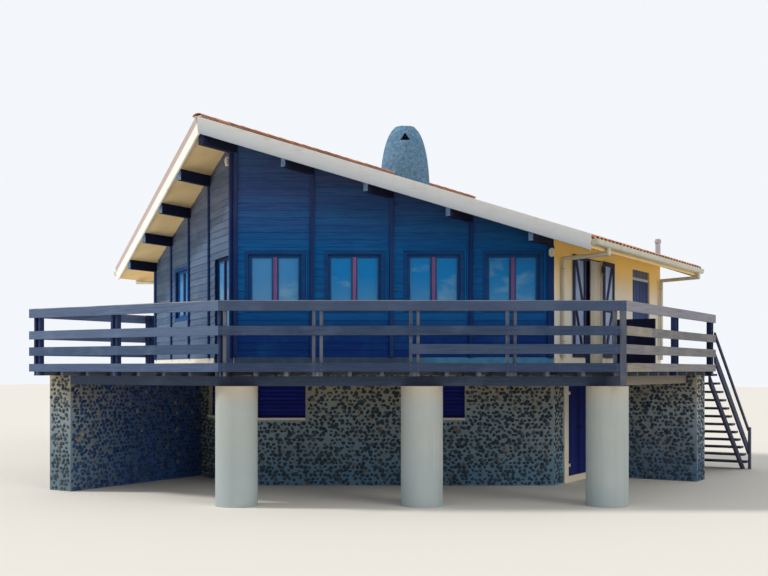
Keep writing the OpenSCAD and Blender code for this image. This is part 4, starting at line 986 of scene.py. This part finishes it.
# Wall lamps: oval bulkhead lamps screwed to the siding, each a ribbed opal glass behind a
# white cast rim.
RIM_ROD = 0.01
RIM_INSET = 0.011
lamp_opal = Finish("lamp_opal", "cfc8ac", roughness=0.3)
lamp_noise = lamp_opal.noise(scale=20, detail=3)
lamp_opal.tint("b5af96", lamp_noise, 0.5, 0.8)
lamp_opal.relief(lamp_opal.joints(lamp_opal.along(2), 0.02, 0.006), 0.002)
dress(lamp_opal.done(), "wall_lamps")
lamp_rims = []
for face in (front_face, left_front_face):
    for s0, s1, z0, z1, out0, out1 in near_face(face, "wall_lamps"):
        lamp_rims.append((face.at((s0 + s1) / 2, out1 - 0.002, (z0 + z1) / 2),
                          face.run * ((s1 - s0) / 2 - RIM_INSET),
                          z_axis * ((z1 - z0) / 2 - RIM_INSET), RIM_ROD))
rim_paint = mottled("lamp_rim_paint", "ece9e0", "c9c2b0", 40, 0.5, 0.8, depth=0.0008,
                    roughness=0.4)
fit_piece(rings_mesh("lamp_rims", lamp_rims, around=24), rim_paint)


# Roof timbers: stained purlins that stand out of the walls, a boarded soffit in pale
# yellow, and painted bargeboards along both slanted verges and the rear ones.
CAP_ROOM = 0.004
CAP_OUT = 0.0035
CAP_THICK = 0.003
CAP_HEAD_ROOM = 0.041
SOFFIT_BOARD = 0.62
SOFFIT_JOINT = 0.006
beam_stain = timber("dark_purlin_timber", "1a2140", "101530", "35364a", turn=math.radians(90),
                    worn=0.2)
dress(beam_stain, "roof_beams")
end_grain = mottled("purlin_end_grain", "6b86a6", "4d6685", 30, 0.45, 0.6, depth=0.002,
                    stretch=(1, 0.1, 1), distortion=1, roughness=0.85)
end_caps = []
for points in loose_solids("roof_beams"):
    front = points[points[:, 1] < points[:, 1].min() + 0.001]
    (x0, y0, low), (x1, y1, high) = front.min(axis=0), front.max(axis=0)
    if abs((x0 + x1) / 2) > 0.5:
        end_caps.append(((x0 + CAP_ROOM, y0 - CAP_OUT, low + CAP_ROOM),
                         (x1 - x0 - 2 * CAP_ROOM, 0, 0),
                         (0, 0, high - low - CAP_ROOM - CAP_HEAD_ROOM), (0, CAP_THICK, 0)))
fit_boards("purlin_end_caps", end_caps, end_grain, "dark_beams", ease=0.001, true=0, seed=62)

soffit = Finish("soffit_paint", "f6d8a0", roughness=0.85)
soffit_cloud = soffit.noise(scale=2.2, detail=4)
soffit.tint("ecc988", soffit_cloud, 0.42, 0.64, 0.6)
soffit_joint = soffit.joints(soffit.along(1), SOFFIT_BOARD, SOFFIT_JOINT)
soffit.tint("b89a62", soffit_joint, 1, 0, 0.35)
soffit.relief(soffit_joint, 0.002)
soffit.relief(soffit.noise(scale=60, detail=3), 0.001)
dress(soffit.done(), "roof_right", "roof_left")

barge = Finish("bargeboard_paint", "cfd3d8", roughness=0.6)
cloud = barge.noise(scale=5, detail=5)
streak = barge.noise(barge.place(scale=(1.2, 1.2, 18)), scale=1, detail=4)
side_x = barge.along(0)
drop = barge.count("MULTIPLY", barge.count("ABSOLUTE", side_x), roof_slope)
rise = barge.count("SUBTRACT", barge.count("ADD", barge.along(2), drop), ridge_z)
left_half = barge.band(side_x, 0.01, -0.01)
# Painted light and shade: the board is lighter at its top and bluer at its foot, and the left verge,
# which faces the light, is whiter.
barge.tint("ebe6df", rise, 0.1, 0.26, 0.6)
barge.tint("a9b4be", rise, 0.09, -0.04, 0.7)
barge.mix(left_half, "f7f4ec")
barge.mix(barge.count("MULTIPLY", left_half, barge.band(rise, 0.12, 0.15)), "b5a39c")
barge.tint("c4bfb8", cloud, 0.5, 0.72, 0.4)
barge.tint("b3a89c", streak, 0.58, 0.75, 0.35)
barge.relief(streak, 0.001)
fit_boards("bargeboard_timber", bars_of("bargeboards"), barge.done(), "barge_paint",
           stands_for="bargeboards", true=0.001, seed=61)


# Roof tiles: round clay tiles in rows down the slope, each course over the one below,
# open at the eaves. Half-round ridge tiles in mortar cover the top joint.
TILE_WIDTH = 0.2
TILE_COURSE = 0.36
TILE_STEPS = 8
TILE_FOOT = 0.014
TILE_CROWN = 0.034
COURSE_RISE = 0.012
TILE_THICK = 0.012
BARGE_THICK = 0.04
BARGE_GAP = 0.004
REAR_BOARD = 0.045
tile_low, tile_high = box_ends("tiles_right")
eave_x = tile_high[0]
verge_y = tile_low[1] + (BARGE_THICK / cos_front + BARGE_GAP)
rear_y = tile_high[1] - REAR_BOARD
tile_rows = int((rear_y - verge_y) / TILE_WIDTH)


def tile_field(name, side, seed):
    """Round tiles on one slope as a sheet. Across the slope the height is a raised cosine
    to the power 0.8; along it each course rises a little to its lower edge, where it steps
    down onto the next. Rows start behind the bargeboard's slanted line."""
    draw = np.random.default_rng(seed)
    y = np.linspace(verge_y, rear_y, tile_rows * TILE_STEPS + 1)
    courses = int(eave_x * math.hypot(1, roof_slope) / TILE_COURSE)
    x = np.concatenate([[i, i + 0.999] for i in range(courses)]) / courses * eave_x
    rise = np.tile([0.0, 1.0], courses)
    grid_x, grid_y = np.meshgrid(x, y, indexing="ij")
    grid_y = np.maximum(grid_y, verge_y + grid_x * tan_front)
    phase = (grid_y - verge_y) / (rear_y - verge_y) * tile_rows
    crown = (0.5 - 0.5 * np.cos(2 * np.pi * phase)) ** 0.8
    row = np.minimum(phase.astype(int), tile_rows - 1)
    course = np.repeat(np.arange(courses), 2)[:, None]
    lift = draw.normal(0, 0.002, (courses, tile_rows))[course, row]
    height = (ridge_z + roof_thick - roof_slope * grid_x + TILE_FOOT + crown * TILE_CROWN
              + rise[:, None] * COURSE_RISE + np.clip(lift, -0.004, 0.003))
    tones = draw.random((courses, tile_rows))[course, row]
    points = np.stack([grid_x * side, grid_y, height], axis=2).reshape(-1, 3)
    size = len(y)
    i, j = np.meshgrid(np.arange(len(x) - 1), np.arange(size - 1), indexing="ij")
    first = i * size + j
    quads = np.stack([first, first + 1, first + size + 1, first + size], axis=2).reshape(-1, 4)
    quads = quads[np.ptp(points[quads][:, :, 1], axis=1) > 1e-6]
    if side > 0:
        quads = quads[:, ::-1]
    mesh = bpy.data.meshes.new(name)
    mesh.from_pydata(points.tolist(), [], quads.tolist())
    spread = mesh.attributes.new("tone", "FLOAT", "POINT")
    spread.data.foreach_set("value", tones.ravel())
    trim = bmesh.new()
    trim.from_mesh(mesh)
    bmesh.ops.remove_doubles(trim, verts=trim.verts, dist=1e-5)
    bmesh.ops.delete(trim, geom=[v for v in trim.verts if not v.link_faces], context="VERTS")
    trim.to_mesh(mesh)
    trim.free()
    mesh.update()
    return mesh


clay = Finish("clay_tile", "c4774a", roughness=0.85)
clay_tone = clay.attribute("tone")
clay.mix(clay.band(clay_tone, 0.0, 0.4, 1, 0), "a65f3e")
clay.tint("d99a6c", clay_tone, 0.65, 0.95)
clay_cloud = clay.noise(scale=3, detail=6, roughness=0.65)
clay.tint("86705c", clay_cloud, 0.55, 0.75, 0.6)
clay_speck = clay.noise(scale=70, detail=4)
clay.tint("5f4a3c", clay_speck, 0.62, 0.8, 0.5)
clay.relief(clay_speck, 0.003)
fired_clay = clay.done()
for side, tile_node in ((1, "tiles_right"), (-1, "tiles_left")):
    tile_piece = fit_piece(tile_field(tile_node + "_courses", side, seed=70 + side), fired_clay,
                           stands_for=tile_node)
    tile_shell = tile_piece.modifiers.new("tile thickness", "SOLIDIFY")
    tile_shell.thickness = TILE_THICK
    tile_shell.offset = -1

# Painted shade: a dark block in the mouth of each tile at the eave stands for the shadow in its
# hollow.
MOUTH_SHADOW_SIZE = (0.012, 0.11, 0.046)
BED_SIZE = (0.013, 0.06, 0.024)
eave_top = ridge_z + roof_thick - roof_slope * eave_x
tile_pitch = (rear_y - verge_y) / tile_rows


def eave_block(side, y, size, inset, up):
    """A block just inside the eave's edge, by its size in under the tiles, along and up."""
    deep, long, high = size
    return ((side * (eave_x - inset - deep), y, eave_top + up), (side * deep, 0, 0), (0, long, 0),
            (0, 0, high))


tile_mouth_shadows, eave_beds = [], []
for side in (-1, 1):
    for y in verge_y + np.arange(tile_rows) * tile_pitch:
        if y > verge_y + eave_x * tan_front:
            tile_mouth_shadows.append(eave_block(side, y + 0.045, MOUTH_SHADOW_SIZE, 0, 0.002))
            eave_beds.append(eave_block(side, y - 0.03, BED_SIZE, 0.001, 0.001))
mouth_shade = mottled("tile_mouth_shade", "1c1a20", "34302f", 30, 0.5, 0.7, depth=0.004,
                      roughness=0.95)
fit_boards("tile_mouth_shadows", tile_mouth_shadows, mouth_shade, "clay_tiles", ease=0.022, true=0, stations=2,
           seed=75)
eave_mortar = mottled("eave_mortar", "e8dfd0", "c9bba4", 40, 0.5, 0.7, depth=0.004,
                      roughness=0.95)
fit_boards("eave_mortar_beds", eave_beds, eave_mortar, "clay_tiles", ease=0.008, true=0,
           stations=2, seed=76)

RIDGE_RADIUS = 0.106
RIDGE_SPREAD = 0.002
RIDGE_LENGTH = 0.4
RIDGE_THICK = 0.014
RIDGE_TAPER = 0.012
RIDGE_LAP = 0.01
ARCH_WIDE = 1.18
ARCH_HIGH = 0.62
ARCH_POINTS = 13
cap_top = box_ends("ridge_cap")[1][2]
ridge_centre = cap_top - (RIDGE_RADIUS + RIDGE_SPREAD) * ARCH_HIGH - 0.004
cap_runs = sorted((p[:, 1].min() + 0.002, p[:, 1].max() - 0.002) for p in loose_solids("ridge_cap"))


def ridge_tiles(name, runs, seed):
    """Half-round tiles end to end along Y: an arch of outer and inner radius, wider than
    high, its centre below the ridge, each tile a little wider at its near end where it
    covers the next."""
    draw = np.random.default_rng(seed)
    turn = np.linspace(0.12, math.pi - 0.12, ARCH_POINTS)
    size = 4 * ARCH_POINTS
    points, faces, tones = [], [], []
    for y0, y1 in runs:
        count = int(round((y1 - y0) / RIDGE_LENGTH))
        step = (y1 - y0) / count
        for i in range(count):
            near_radius = RIDGE_RADIUS + draw.uniform(-RIDGE_SPREAD, RIDGE_SPREAD)
            far_end = min(y0 + (i + 1) * step + RIDGE_LAP, y1)
            for y, radius in ((y0 + i * step, near_radius), (far_end, near_radius - RIDGE_TAPER)):
                for skin in (radius, radius - RIDGE_THICK):
                    points.append(np.stack([skin * ARCH_WIDE * np.cos(turn), np.full(ARCH_POINTS, y),
                                            ridge_centre + skin * ARCH_HIGH * np.sin(turn)], axis=1))
            near_out, near_in, far_out, far_in = size * len(tones) + ARCH_POINTS * np.arange(4)
            k = np.arange(ARCH_POINTS - 1)
            for a, b in ((near_out, far_out), (far_in, near_in), (near_in, near_out),
                         (far_out, far_in)):
                faces.append(np.stack([a + k, a + k + 1, b + k + 1, b + k], axis=1))
            for k in (0, ARCH_POINTS - 1):
                faces.append(np.array([[near_out + k, near_in + k, far_in + k, far_out + k]]))
            tones.append(np.full(size, draw.random()))
    return solid_mesh(name, np.concatenate(points), faces, tone=np.concatenate(tones))


fit_piece(ridge_tiles("ridge_tiles", cap_runs, seed=73), fired_clay,
          stands_for="ridge_cap")
ridge_mortar = mottled("ridge_mortar", "b9b1a2", "8d8678", 40, 0.5, 0.7, depth=0.006, detail=5,
                       roughness=0.95)
ridge_beds = [((side * 0.055 - 0.045, y0 + 0.003, ridge_centre - 0.012), (0, y1 - y0 - 0.006, 0),
               (0.09, 0, 0), (0, 0, 0.03)) for y0, y1 in cap_runs for side in (-1, 1)]
fit_boards("ridge_mortar_bed", ridge_beds, ridge_mortar, "clay_tiles", ease=0.008, true=0.002,
           stations=40, seed=74)


# Gutters and downpipes: cream plastic rainwater goods. The half-round gutter hangs in
# strap brackets, and each pipe is held to the wall by clips.
STRAP_STEP = 0.8
STRAP_WIDTH = 0.045
STRAP_THICK = 0.004
PIPE_RADIUS = 0.042
CLIP_ROD = 0.004
CLIP_HEIGHTS = (2.75, 3.5, 4.15)
cream_plastic = mottled("cream_plastic", "c9c6b4", "aba184", 1, 0.5, 0.75, depth=0.0006,
                        amount=0.6, stretch=(6, 6, 1), roughness=0.45)
dress(cream_plastic, "gutters", "downpipes")
gutter_low, gutter_high = box_ends("gutters")
gutter_width = gutter_high[0] - roof_high[0]
straps = []
for side in (-1, 1):
    strap_y = np.arange(gutter_low[1] + 0.3, gutter_high[1] - 0.1, STRAP_STEP)
    straps += [((side * (gutter_high[0] - 0.001), y, gutter_low[2] + 0.056), (0, STRAP_WIDTH, 0),
                (0, 0, 0.05), (-side * STRAP_THICK, 0, 0)) for y in strap_y]
    straps += [((side * (roof_high[0] + 0.008), y, gutter_high[2] - 0.006), (0, STRAP_WIDTH, 0),
                (side * (gutter_width - 0.014), 0, 0), (0, 0, STRAP_THICK)) for y in strap_y]
strap_metal = mottled("gutter_strap_metal", "7d6f5c", "8a6f58", 25, 0.5, 0.7, depth=0.0006,
                      roughness=0.5)
fit_boards("gutter_straps", straps, strap_metal, "rainwater_plastic", ease=0.001, true=0, seed=81)
pipe_clips = []
for points in loose_solids("downpipes"):
    pipe_x = np.sign(points[:, 0].mean()) * (np.abs(points[:, 0]).min() + PIPE_RADIUS)
    foot = points[points[:, 2] < points[:, 2].min() + 0.01]
    pipe_y = (foot[:, 1].min() + foot[:, 1].max()) / 2
    pipe_clips += [((pipe_x, pipe_y, z), x_axis * (PIPE_RADIUS + 0.001),
                    y_axis * (PIPE_RADIUS + 0.001), CLIP_ROD) for z in CLIP_HEIGHTS]
fit_piece(rings_mesh("pipe_clips", pipe_clips, around=24), strap_metal)


# Chimney: a rounded stack of rough-cast render over blockwork, with three-cornered
# smoke holes. A steel vent pipe with a collar stands beside the right eave.
chimney_coat = Finish("chimney_render", "6a97ba", roughness=0.95)
chimney_place = chimney_coat.place()
chimney_lump = chimney_coat.noise(chimney_place, scale=11, detail=5, roughness=0.7)
chimney_speck = chimney_coat.noise(chimney_place, scale=30, detail=6, roughness=0.75)
chimney_coat.tint("4d7896", chimney_lump, 0.42, 0.62)
chimney_coat.tint("b9c8ce", chimney_speck, 0.55, 0.68, 0.8)
chimney_coat.tint("465c6b", chimney_speck, 0.42, 0.32, 0.7)
chimney_coat.relief(chimney_lump, 0.04)
chimney_coat.relief(chimney_speck, 0.02)
dress(chimney_coat.done(), "chimney")
vent_metal = mottled("vent_metal", "b4bac2", "968c84", 12, 0.55, 0.75, depth=0.0008, detail=5,
                     roughness=0.5, Metallic=0.2)
dress(vent_metal, "vent_pipe")


# Deck: sawn softwood, gone grey. Joists lie on bearers over the piers and the two wing
# walls. Open-jointed boards follow each edge, and meet in mitres over the two hips.
BOARD = 0.12
BOARD_THICK = 0.03
JOINT = 0.007
LEAST_BOARD = 0.15
WALL_ROOM = 0.03
LAST_BOARD_ROOM = 0.025
PAST_TIP = 1.3
# The outer bearer's face, from this X outwards and this Y backwards, is in the light.
BEARER_FACE_X = (7.066, 7.072)
BEARER_LIT_Y = (-3.25, -3.15)
bearer_wood = Finish("weathered_bearer_timber", "36445e", roughness=0.82)
bearer_place = bearer_wood.place(scale=(1.6, 34, 34), turn=front_angle)
bearer_grain = bearer_wood.noise(bearer_place, scale=1, detail=5, distortion=0.8)
bearer_blotch = bearer_wood.noise(scale=1.7, detail=4)
bearer_wood.tint("253048", bearer_grain, 0.42, 0.7, 0.8)
bearer_wood.tint("525f78", bearer_blotch, 0.52, 0.7, 0.35)
bearer_face = bearer_wood.band(bearer_wood.along(0), *BEARER_FACE_X, 0, 0.9)
bearer_lit = bearer_wood.band(bearer_wood.along(1), *BEARER_LIT_Y)
bearer_wood.mix(bearer_wood.count("MULTIPLY", bearer_face, bearer_lit), "8e8272")
bearer_wood.relief(bearer_grain, 0.004)
dress(bearer_wood.done(), "deck_bearers")
joist_wood = timber("weathered_joist_timber", "5c6270", "3f4453", "7f848c")
fit_boards("deck_joist_timber", bars_of("deck_joists"), joist_wood, "deck_timber",
           stands_for="deck_joists", seed=25)
slant_bar = max(bars_of("front_rails"), key=lambda bar: np.linalg.norm(bar[1]))
flat_edge_y = box_ends("left_rails")[0][1]
deck_right = box_ends("front_rails")[1][0]
deck_low, deck_high = box_ends("deck_boards")
edge_inset = deck_low[1] - flat_edge_y
outward = np.array([sin_front, -cos_front])
slant_reach = max((np.array(slant_bar[0][:2]) + w * np.array(slant_bar[2][:2])
                   + h * np.array(slant_bar[3][:2]) - [0, tip_y]) @ outward
                  for w in (0, 1) for h in (0, 1))


def on_slant_edge(x):
    """The y of the deck's slanted edge at an x: its line lies slant_reach out of the wall."""
    return tip_y + x * tan_front - slant_reach / cos_front


def deck_rows(origin, run, inward, depth, near, far):
    """Bars of the boards of one edge: row by row inwards, each between the near and the far
    limit, which are functions of the distance from the edge."""
    rows = []
    d = edge_inset
    while d + BOARD < depth:
        a0, a1, b0, b1 = near(d), near(d + BOARD), far(d), far(d + BOARD)
        if b0 - a0 > LEAST_BOARD:
            first = np.array([*(origin + run * a0 + inward * d), floor_z - BOARD_THICK])
            along = np.array([*(run * (b0 - a0)), 0.0])
            wide = np.array([*(inward * BOARD), 0.0])
            rows.append((first, along, wide, z_axis * BOARD_THICK, (a1 - a0, 0, b1 - b0, 0)))
        d += BOARD + JOINT
    return rows


def toward(origin, run, inward, start, end, inset=0.0):
    """The place along an edge where the line from start to end is a distance inwards."""
    s0, d0 = (start - origin) @ run, (start - origin) @ inward
    s1, d1 = (end - origin) @ run, (end - origin) @ inward
    return lambda d: s0 + (d - d0) * (s1 - s0) / (d1 - d0) + inset


x_way, y_way = np.eye(2)
house_tip = np.array([0.0, tip_y])
house_shoulder = np.array([half_width, shoulder_y])
flat_corner = np.array([(flat_edge_y - on_slant_edge(0)) / tan_front, flat_edge_y])
side_corner = np.array([deck_right, on_slant_edge(deck_right)])
flat_edge = (np.array([deck_low[0], flat_edge_y]), x_way, y_way)
slant_edge = (flat_corner, np.array([cos_front, sin_front]), -outward)
side_edge = (side_corner, y_way, -x_way)
hip = toward(*flat_edge, flat_corner, house_tip, -JOINT / 2)
left_wall_line = toward(*flat_edge, house_tip - WALL_ROOM,
                        np.array([-half_width, shoulder_y]) - WALL_ROOM)
tip_depth = tip_y - flat_edge_y
flat_rows = deck_rows(*flat_edge, tip_depth + PAST_TIP, lambda d: 0.0,
                      lambda d: hip(d) if d < tip_depth - WALL_ROOM else left_wall_line(d))
slant_rows = deck_rows(*slant_edge, slant_reach - LAST_BOARD_ROOM,
                       toward(*slant_edge, flat_corner, house_tip, JOINT / 2),
                       toward(*slant_edge, side_corner, house_shoulder, -JOINT / 2))
side_rows = deck_rows(*side_edge, deck_right - half_width - LAST_BOARD_ROOM,
                      toward(*side_edge, side_corner, house_shoulder, JOINT / 2),
                      lambda d: deck_high[1] - side_corner[1])
deck_wood = timber("weathered_deck_timber", "7f7a78", "57545a", "a8a098")
fit_boards("deck_board_timber", flat_rows + slant_rows + side_rows, deck_wood, "deck_timber",
           stands_for="deck_boards", ease=0.003, true=0.0012, seed=31)


# Balustrade: level planks on both sides of upright posts, with a dark boarded screen
# across the deck's far end. Two bolts go through each plank and post.
BOLT_RADIUS = 0.011
BOLT_OUT = 0.007
BOLT_SIDES = 8
BOLT_RISE = 0.035
SPLICE_LENGTH = 1.3
LEAST_BOLTED = 0.4
POST_REACH = 0.12
SCREEN_BOARD = 0.14
SCREEN_JOINT = 0.004
# Painted light and shade: the upper plank of each rail takes its own tone, darker on the shaded rails
# and lighter on the sunlit ones, and the top face of the top rail a pale painted highlight.
UPPER_PLANK_LIGHTING = (3.06, 3.14)
TOP_FACE_HIGHLIGHT = (3.288, 3.297)
shaded_wood = timber("shaded_rail_timber", "3c4c68", "28364f", "5b6984",
                     tones=[("34445f", *UPPER_PLANK_LIGHTING), ("948f98", *TOP_FACE_HIGHLIGHT)])
shaded_post_wood = timber("shaded_post_timber", "565d6c", "3a4254", "7e7d80")
sunlit_wood = timber("sunlit_rail_timber", "4c5f80", "364862", "70819e",
                     tones=[("5a6a88", *UPPER_PLANK_LIGHTING), ("aaa4a4", *TOP_FACE_HIGHLIGHT)])
sunlit_post_wood = timber("sunlit_post_timber", "22335c", "142044", "3c4e76")
# Painted light and shade: the right side's rails are a paler lit copy with a tone of their own on the
# upper plank, and their posts a dark shaded copy.
lit_side_wood = timber("lit_side_rail_timber", "7e7d80", "5e5e66", "a09c9a", tones=[("82859a", 3.0, 3.1)])
splice_wood = timber("splice_plank_timber", "8f897f", "6f6a66", "b0a898")
shaded_side_post_wood = timber("shaded_side_post_timber", "17264c", "0e1834", "2c3c62")
rails = (("front_rails", 21, (shaded_wood, shaded_post_wood, shaded_wood)),
         ("left_rails", 22, (sunlit_wood, sunlit_post_wood, sunlit_wood)),
         ("return_rails", 23, (sunlit_wood, sunlit_post_wood, sunlit_wood)),
         ("right_rails", 24, (lit_side_wood, shaded_side_post_wood, splice_wood)))


def bolt_heads(name, spots):
    """Round bolt heads: rings of radius R, R and 0.7 R at heights of -1, 2 and 6 mm, and a
    top point, round a centre, in the plane across its outward direction."""
    centre, out = (np.array([spot[i] for spot in spots], float) for i in range(2))
    q = np.arange(BOLT_SIDES) / BOLT_SIDES * 2 * np.pi
    across = np.cross(out, z_axis)
    across = across / np.linalg.norm(across, axis=1)[:, None]
    disc = across[:, None] * np.cos(q)[None, :, None] + z_axis * np.sin(q)[None, :, None]
    rings = [centre[:, None] + disc * BOLT_RADIUS * r + out[:, None] * h
             for r, h in ((1, -0.001), (1, 0.002), (0.7, 0.006))]
    points = np.concatenate([*rings, (centre + out * BOLT_OUT)[:, None]], axis=1)
    faces = dome_faces(np.arange(len(spots)) * points.shape[1], BOLT_SIDES)
    return solid_mesh(name, points.reshape(-1, 3), faces, smooth=True)


bolt_spots = []
for rail_node, rail_seed, woods in rails:
    bars = bars_of(rail_node)
    lengths = [np.linalg.norm(bar[1]) for bar in bars]
    upright = [abs(bar[1][2]) > 0.8 * length for bar, length in zip(bars, lengths)]
    kinds = [1 if stands else 2 if length < SPLICE_LENGTH else 0
             for length, stands in zip(lengths, upright)]
    for kind, part in enumerate(("planks", "posts", "splices")):
        group = [bar for bar, its_kind in zip(bars, kinds) if its_kind == kind]
        if group:
            fit_boards(rail_node + "_" + part, group, woods[kind], "deck_timber",
                       stands_for=rail_node if kind == 0 else None, seed=rail_seed)
    middles = [bar[0] + sum(bar[1:4]) / 2 for bar in bars]
    posts = [(bar, middle) for bar, middle, stands in zip(bars, middles, upright) if stands]
    for bar, middle, length, stands in zip(bars, middles, lengths, upright):
        if stands or np.linalg.norm(bar[1][:2]) < LEAST_BOLTED:
            continue
        run = bar[1] / length
        across = np.cross(run, z_axis)
        thick = abs((bar[2] + bar[3]) @ across)
        for post, at in posts:
            gap = at - middle
            s, out = gap @ run, gap @ across
            low, high = sorted((post[0][2], post[0][2] + post[1][2]))
            if abs(s) < length / 2 and abs(out) < POST_REACH and low < middle[2] < high:
                way = across * -np.sign(out)
                spot = middle + run * s + way * thick / 2
                bolt_spots += [(spot + z_axis * dz, way) for dz in (-BOLT_RISE, BOLT_RISE)]
bolt_tops = np.array([spot + way * BOLT_OUT for spot, way in bolt_spots])
inside = np.all((bolt_tops > cad_box[0]) & (bolt_tops < cad_box[1]), axis=1)
bolt_metal = mottled("bolt_metal", "59647a", "4a4644", 50, 0.5, 0.7, depth=0, detail=3,
                     roughness=0.5, Metallic=0.4)
fit_piece(bolt_heads("rail_bolts", [spot for spot, fits in zip(bolt_spots, inside) if fits]),
          bolt_metal)


def board_panel(node):
    """Upright boards that fill each solid of a node, side by side with a joint between."""
    bars = []
    for start, along, wide, thick, lean in bars_of(node, upright=True):
        count = max(int(round(np.linalg.norm(wide) / SCREEN_BOARD)), 1)
        step = wide / count
        gap = step / np.linalg.norm(step) * SCREEN_JOINT / 2
        bars += [(start + step * i + gap, along, step - 2 * gap, thick) for i in range(count)]
    return bars


screen_paint = timber("end_screen_paint", "14173c", "0d0f2a", "262c52", roughness=0.65, worn=0.2)
fit_boards("end_screen_boards", board_panel("end_screen"), screen_paint,
           "blue_shutter", stands_for="end_screen", seed=53)


# Stair: plank treads on two sawn stringers, with a guard board and a handrail nailed to
# a newel on the outer side.
stringer_wood = timber("weathered_stringer_timber", "3c3e54", "26283c", "5e6070",
                       turn=math.radians(90))
dress(stringer_wood, "stair_stringers")
stair_wood = timber("dark_stair_timber", "44465c", "2c2e42", "66687a")
for name, node, seed in (("stair_tread_timber", "stair_treads", 26),
                         ("stair_rail_timber", "stair_rails", 27)):
    fit_boards(name, bars_of(node), stair_wood, "deck_timber", stands_for=node, seed=seed)


# Studio and camera: a pale floor, a soft key from the left and an even pale surround.
# The eye stands at deck height, a little to the right, and its lens is shifted up.
FLOOR_REACH = 120.0
FLOOR_DROP = 0.002
WARM_LIGHT = (1.0, 0.95, 0.86)
FRAME_PIXELS = 768
FOCAL_PIXELS = 1060
HORIZON_PIXELS = 82
SENSOR = 36.0
scene = bpy.context.scene
floor_mesh = bpy.data.meshes.new("studio_floor")
floor_mesh.from_pydata([(FLOOR_REACH * x, FLOOR_REACH * y, -FLOOR_DROP)
                        for x, y in ((-1, -1), (1, -1), (1, 1), (-1, 1))], [], [(0, 1, 2, 3)])
studio_floor = bpy.data.objects.new("studio_floor", floor_mesh)
scene.collection.objects.link(studio_floor)
floor_mesh.materials.append(Finish("studio_floor", "e4e0d8", roughness=0.95).done())

world = bpy.data.worlds.new("studio")
scene.world = world
world.use_nodes = True
sky_nodes, sky_links = world.node_tree.nodes, world.node_tree.links
ambient = sky_nodes["Background"]
ambient.inputs["Color"].default_value = (0.93, 0.96, 1.0, 1)
ambient.inputs["Strength"].default_value = 0.62
surround = sky_nodes.new("ShaderNodeBackground")
surround.inputs["Color"].default_value = (0.90, 0.93, 0.97, 1)
surround.inputs["Strength"].default_value = 1.0
path = sky_nodes.new("ShaderNodeLightPath")
seen = sky_nodes.new("ShaderNodeMath")
seen.operation = "MAXIMUM"
sky_links.new(path.outputs["Is Camera Ray"], seen.inputs[0])
sky_links.new(path.outputs["Is Transmission Ray"], seen.inputs[1])
sky_mix = sky_nodes.new("ShaderNodeMixShader")
sky_links.new(seen.outputs[0], sky_mix.inputs[0])
sky_links.new(ambient.outputs[0], sky_mix.inputs[1])
sky_links.new(surround.outputs[0], sky_mix.inputs[2])
sky_links.new(sky_mix.outputs[0], sky_nodes["World Output"].inputs["Surface"])

for name, energy, softness, colour, turn in (
        ("key", 2.2, 8, (1.0, 0.97, 0.92), (48, 0, -62)),
        ("side_fill", 0.7, 30, WARM_LIGHT, (66, 0, 78))):
    lamp_data = bpy.data.lights.new(name, "SUN")
    lamp_data.energy = energy
    lamp_data.angle = math.radians(softness)
    lamp_data.color = colour
    lamp = bpy.data.objects.new(name, lamp_data)
    lamp.rotation_euler = [math.radians(angle) for angle in turn]
    scene.collection.objects.link(lamp)
bounce_data = bpy.data.lights.new("ground_bounce", "AREA")
bounce_data.shape = "RECTANGLE"
bounce_data.size, bounce_data.size_y = 8.0, 7.0
bounce_data.energy = 370
bounce_data.color = WARM_LIGHT
bounce = bpy.data.objects.new("ground_bounce", bounce_data)
bounce.location = (-8.5, -8.5, 0.2)
bounce.rotation_euler = (math.pi, 0, 0)
bounce.visible_camera = False
scene.collection.objects.link(bounce)

camera_data = bpy.data.cameras.new("camera")
camera_data.sensor_width = SENSOR
camera_data.lens = SENSOR * FOCAL_PIXELS / FRAME_PIXELS
camera_data.shift_y = HORIZON_PIXELS / FRAME_PIXELS
camera = bpy.data.objects.new("camera", camera_data)
camera.location = (13.18, -20.43, 2.2)
camera.rotation_euler = (math.radians(90), 0, math.radians(32.17))
scene.collection.objects.link(camera)
bpy.context.scene.camera = camera
scene.view_settings.view_transform = "Standard"
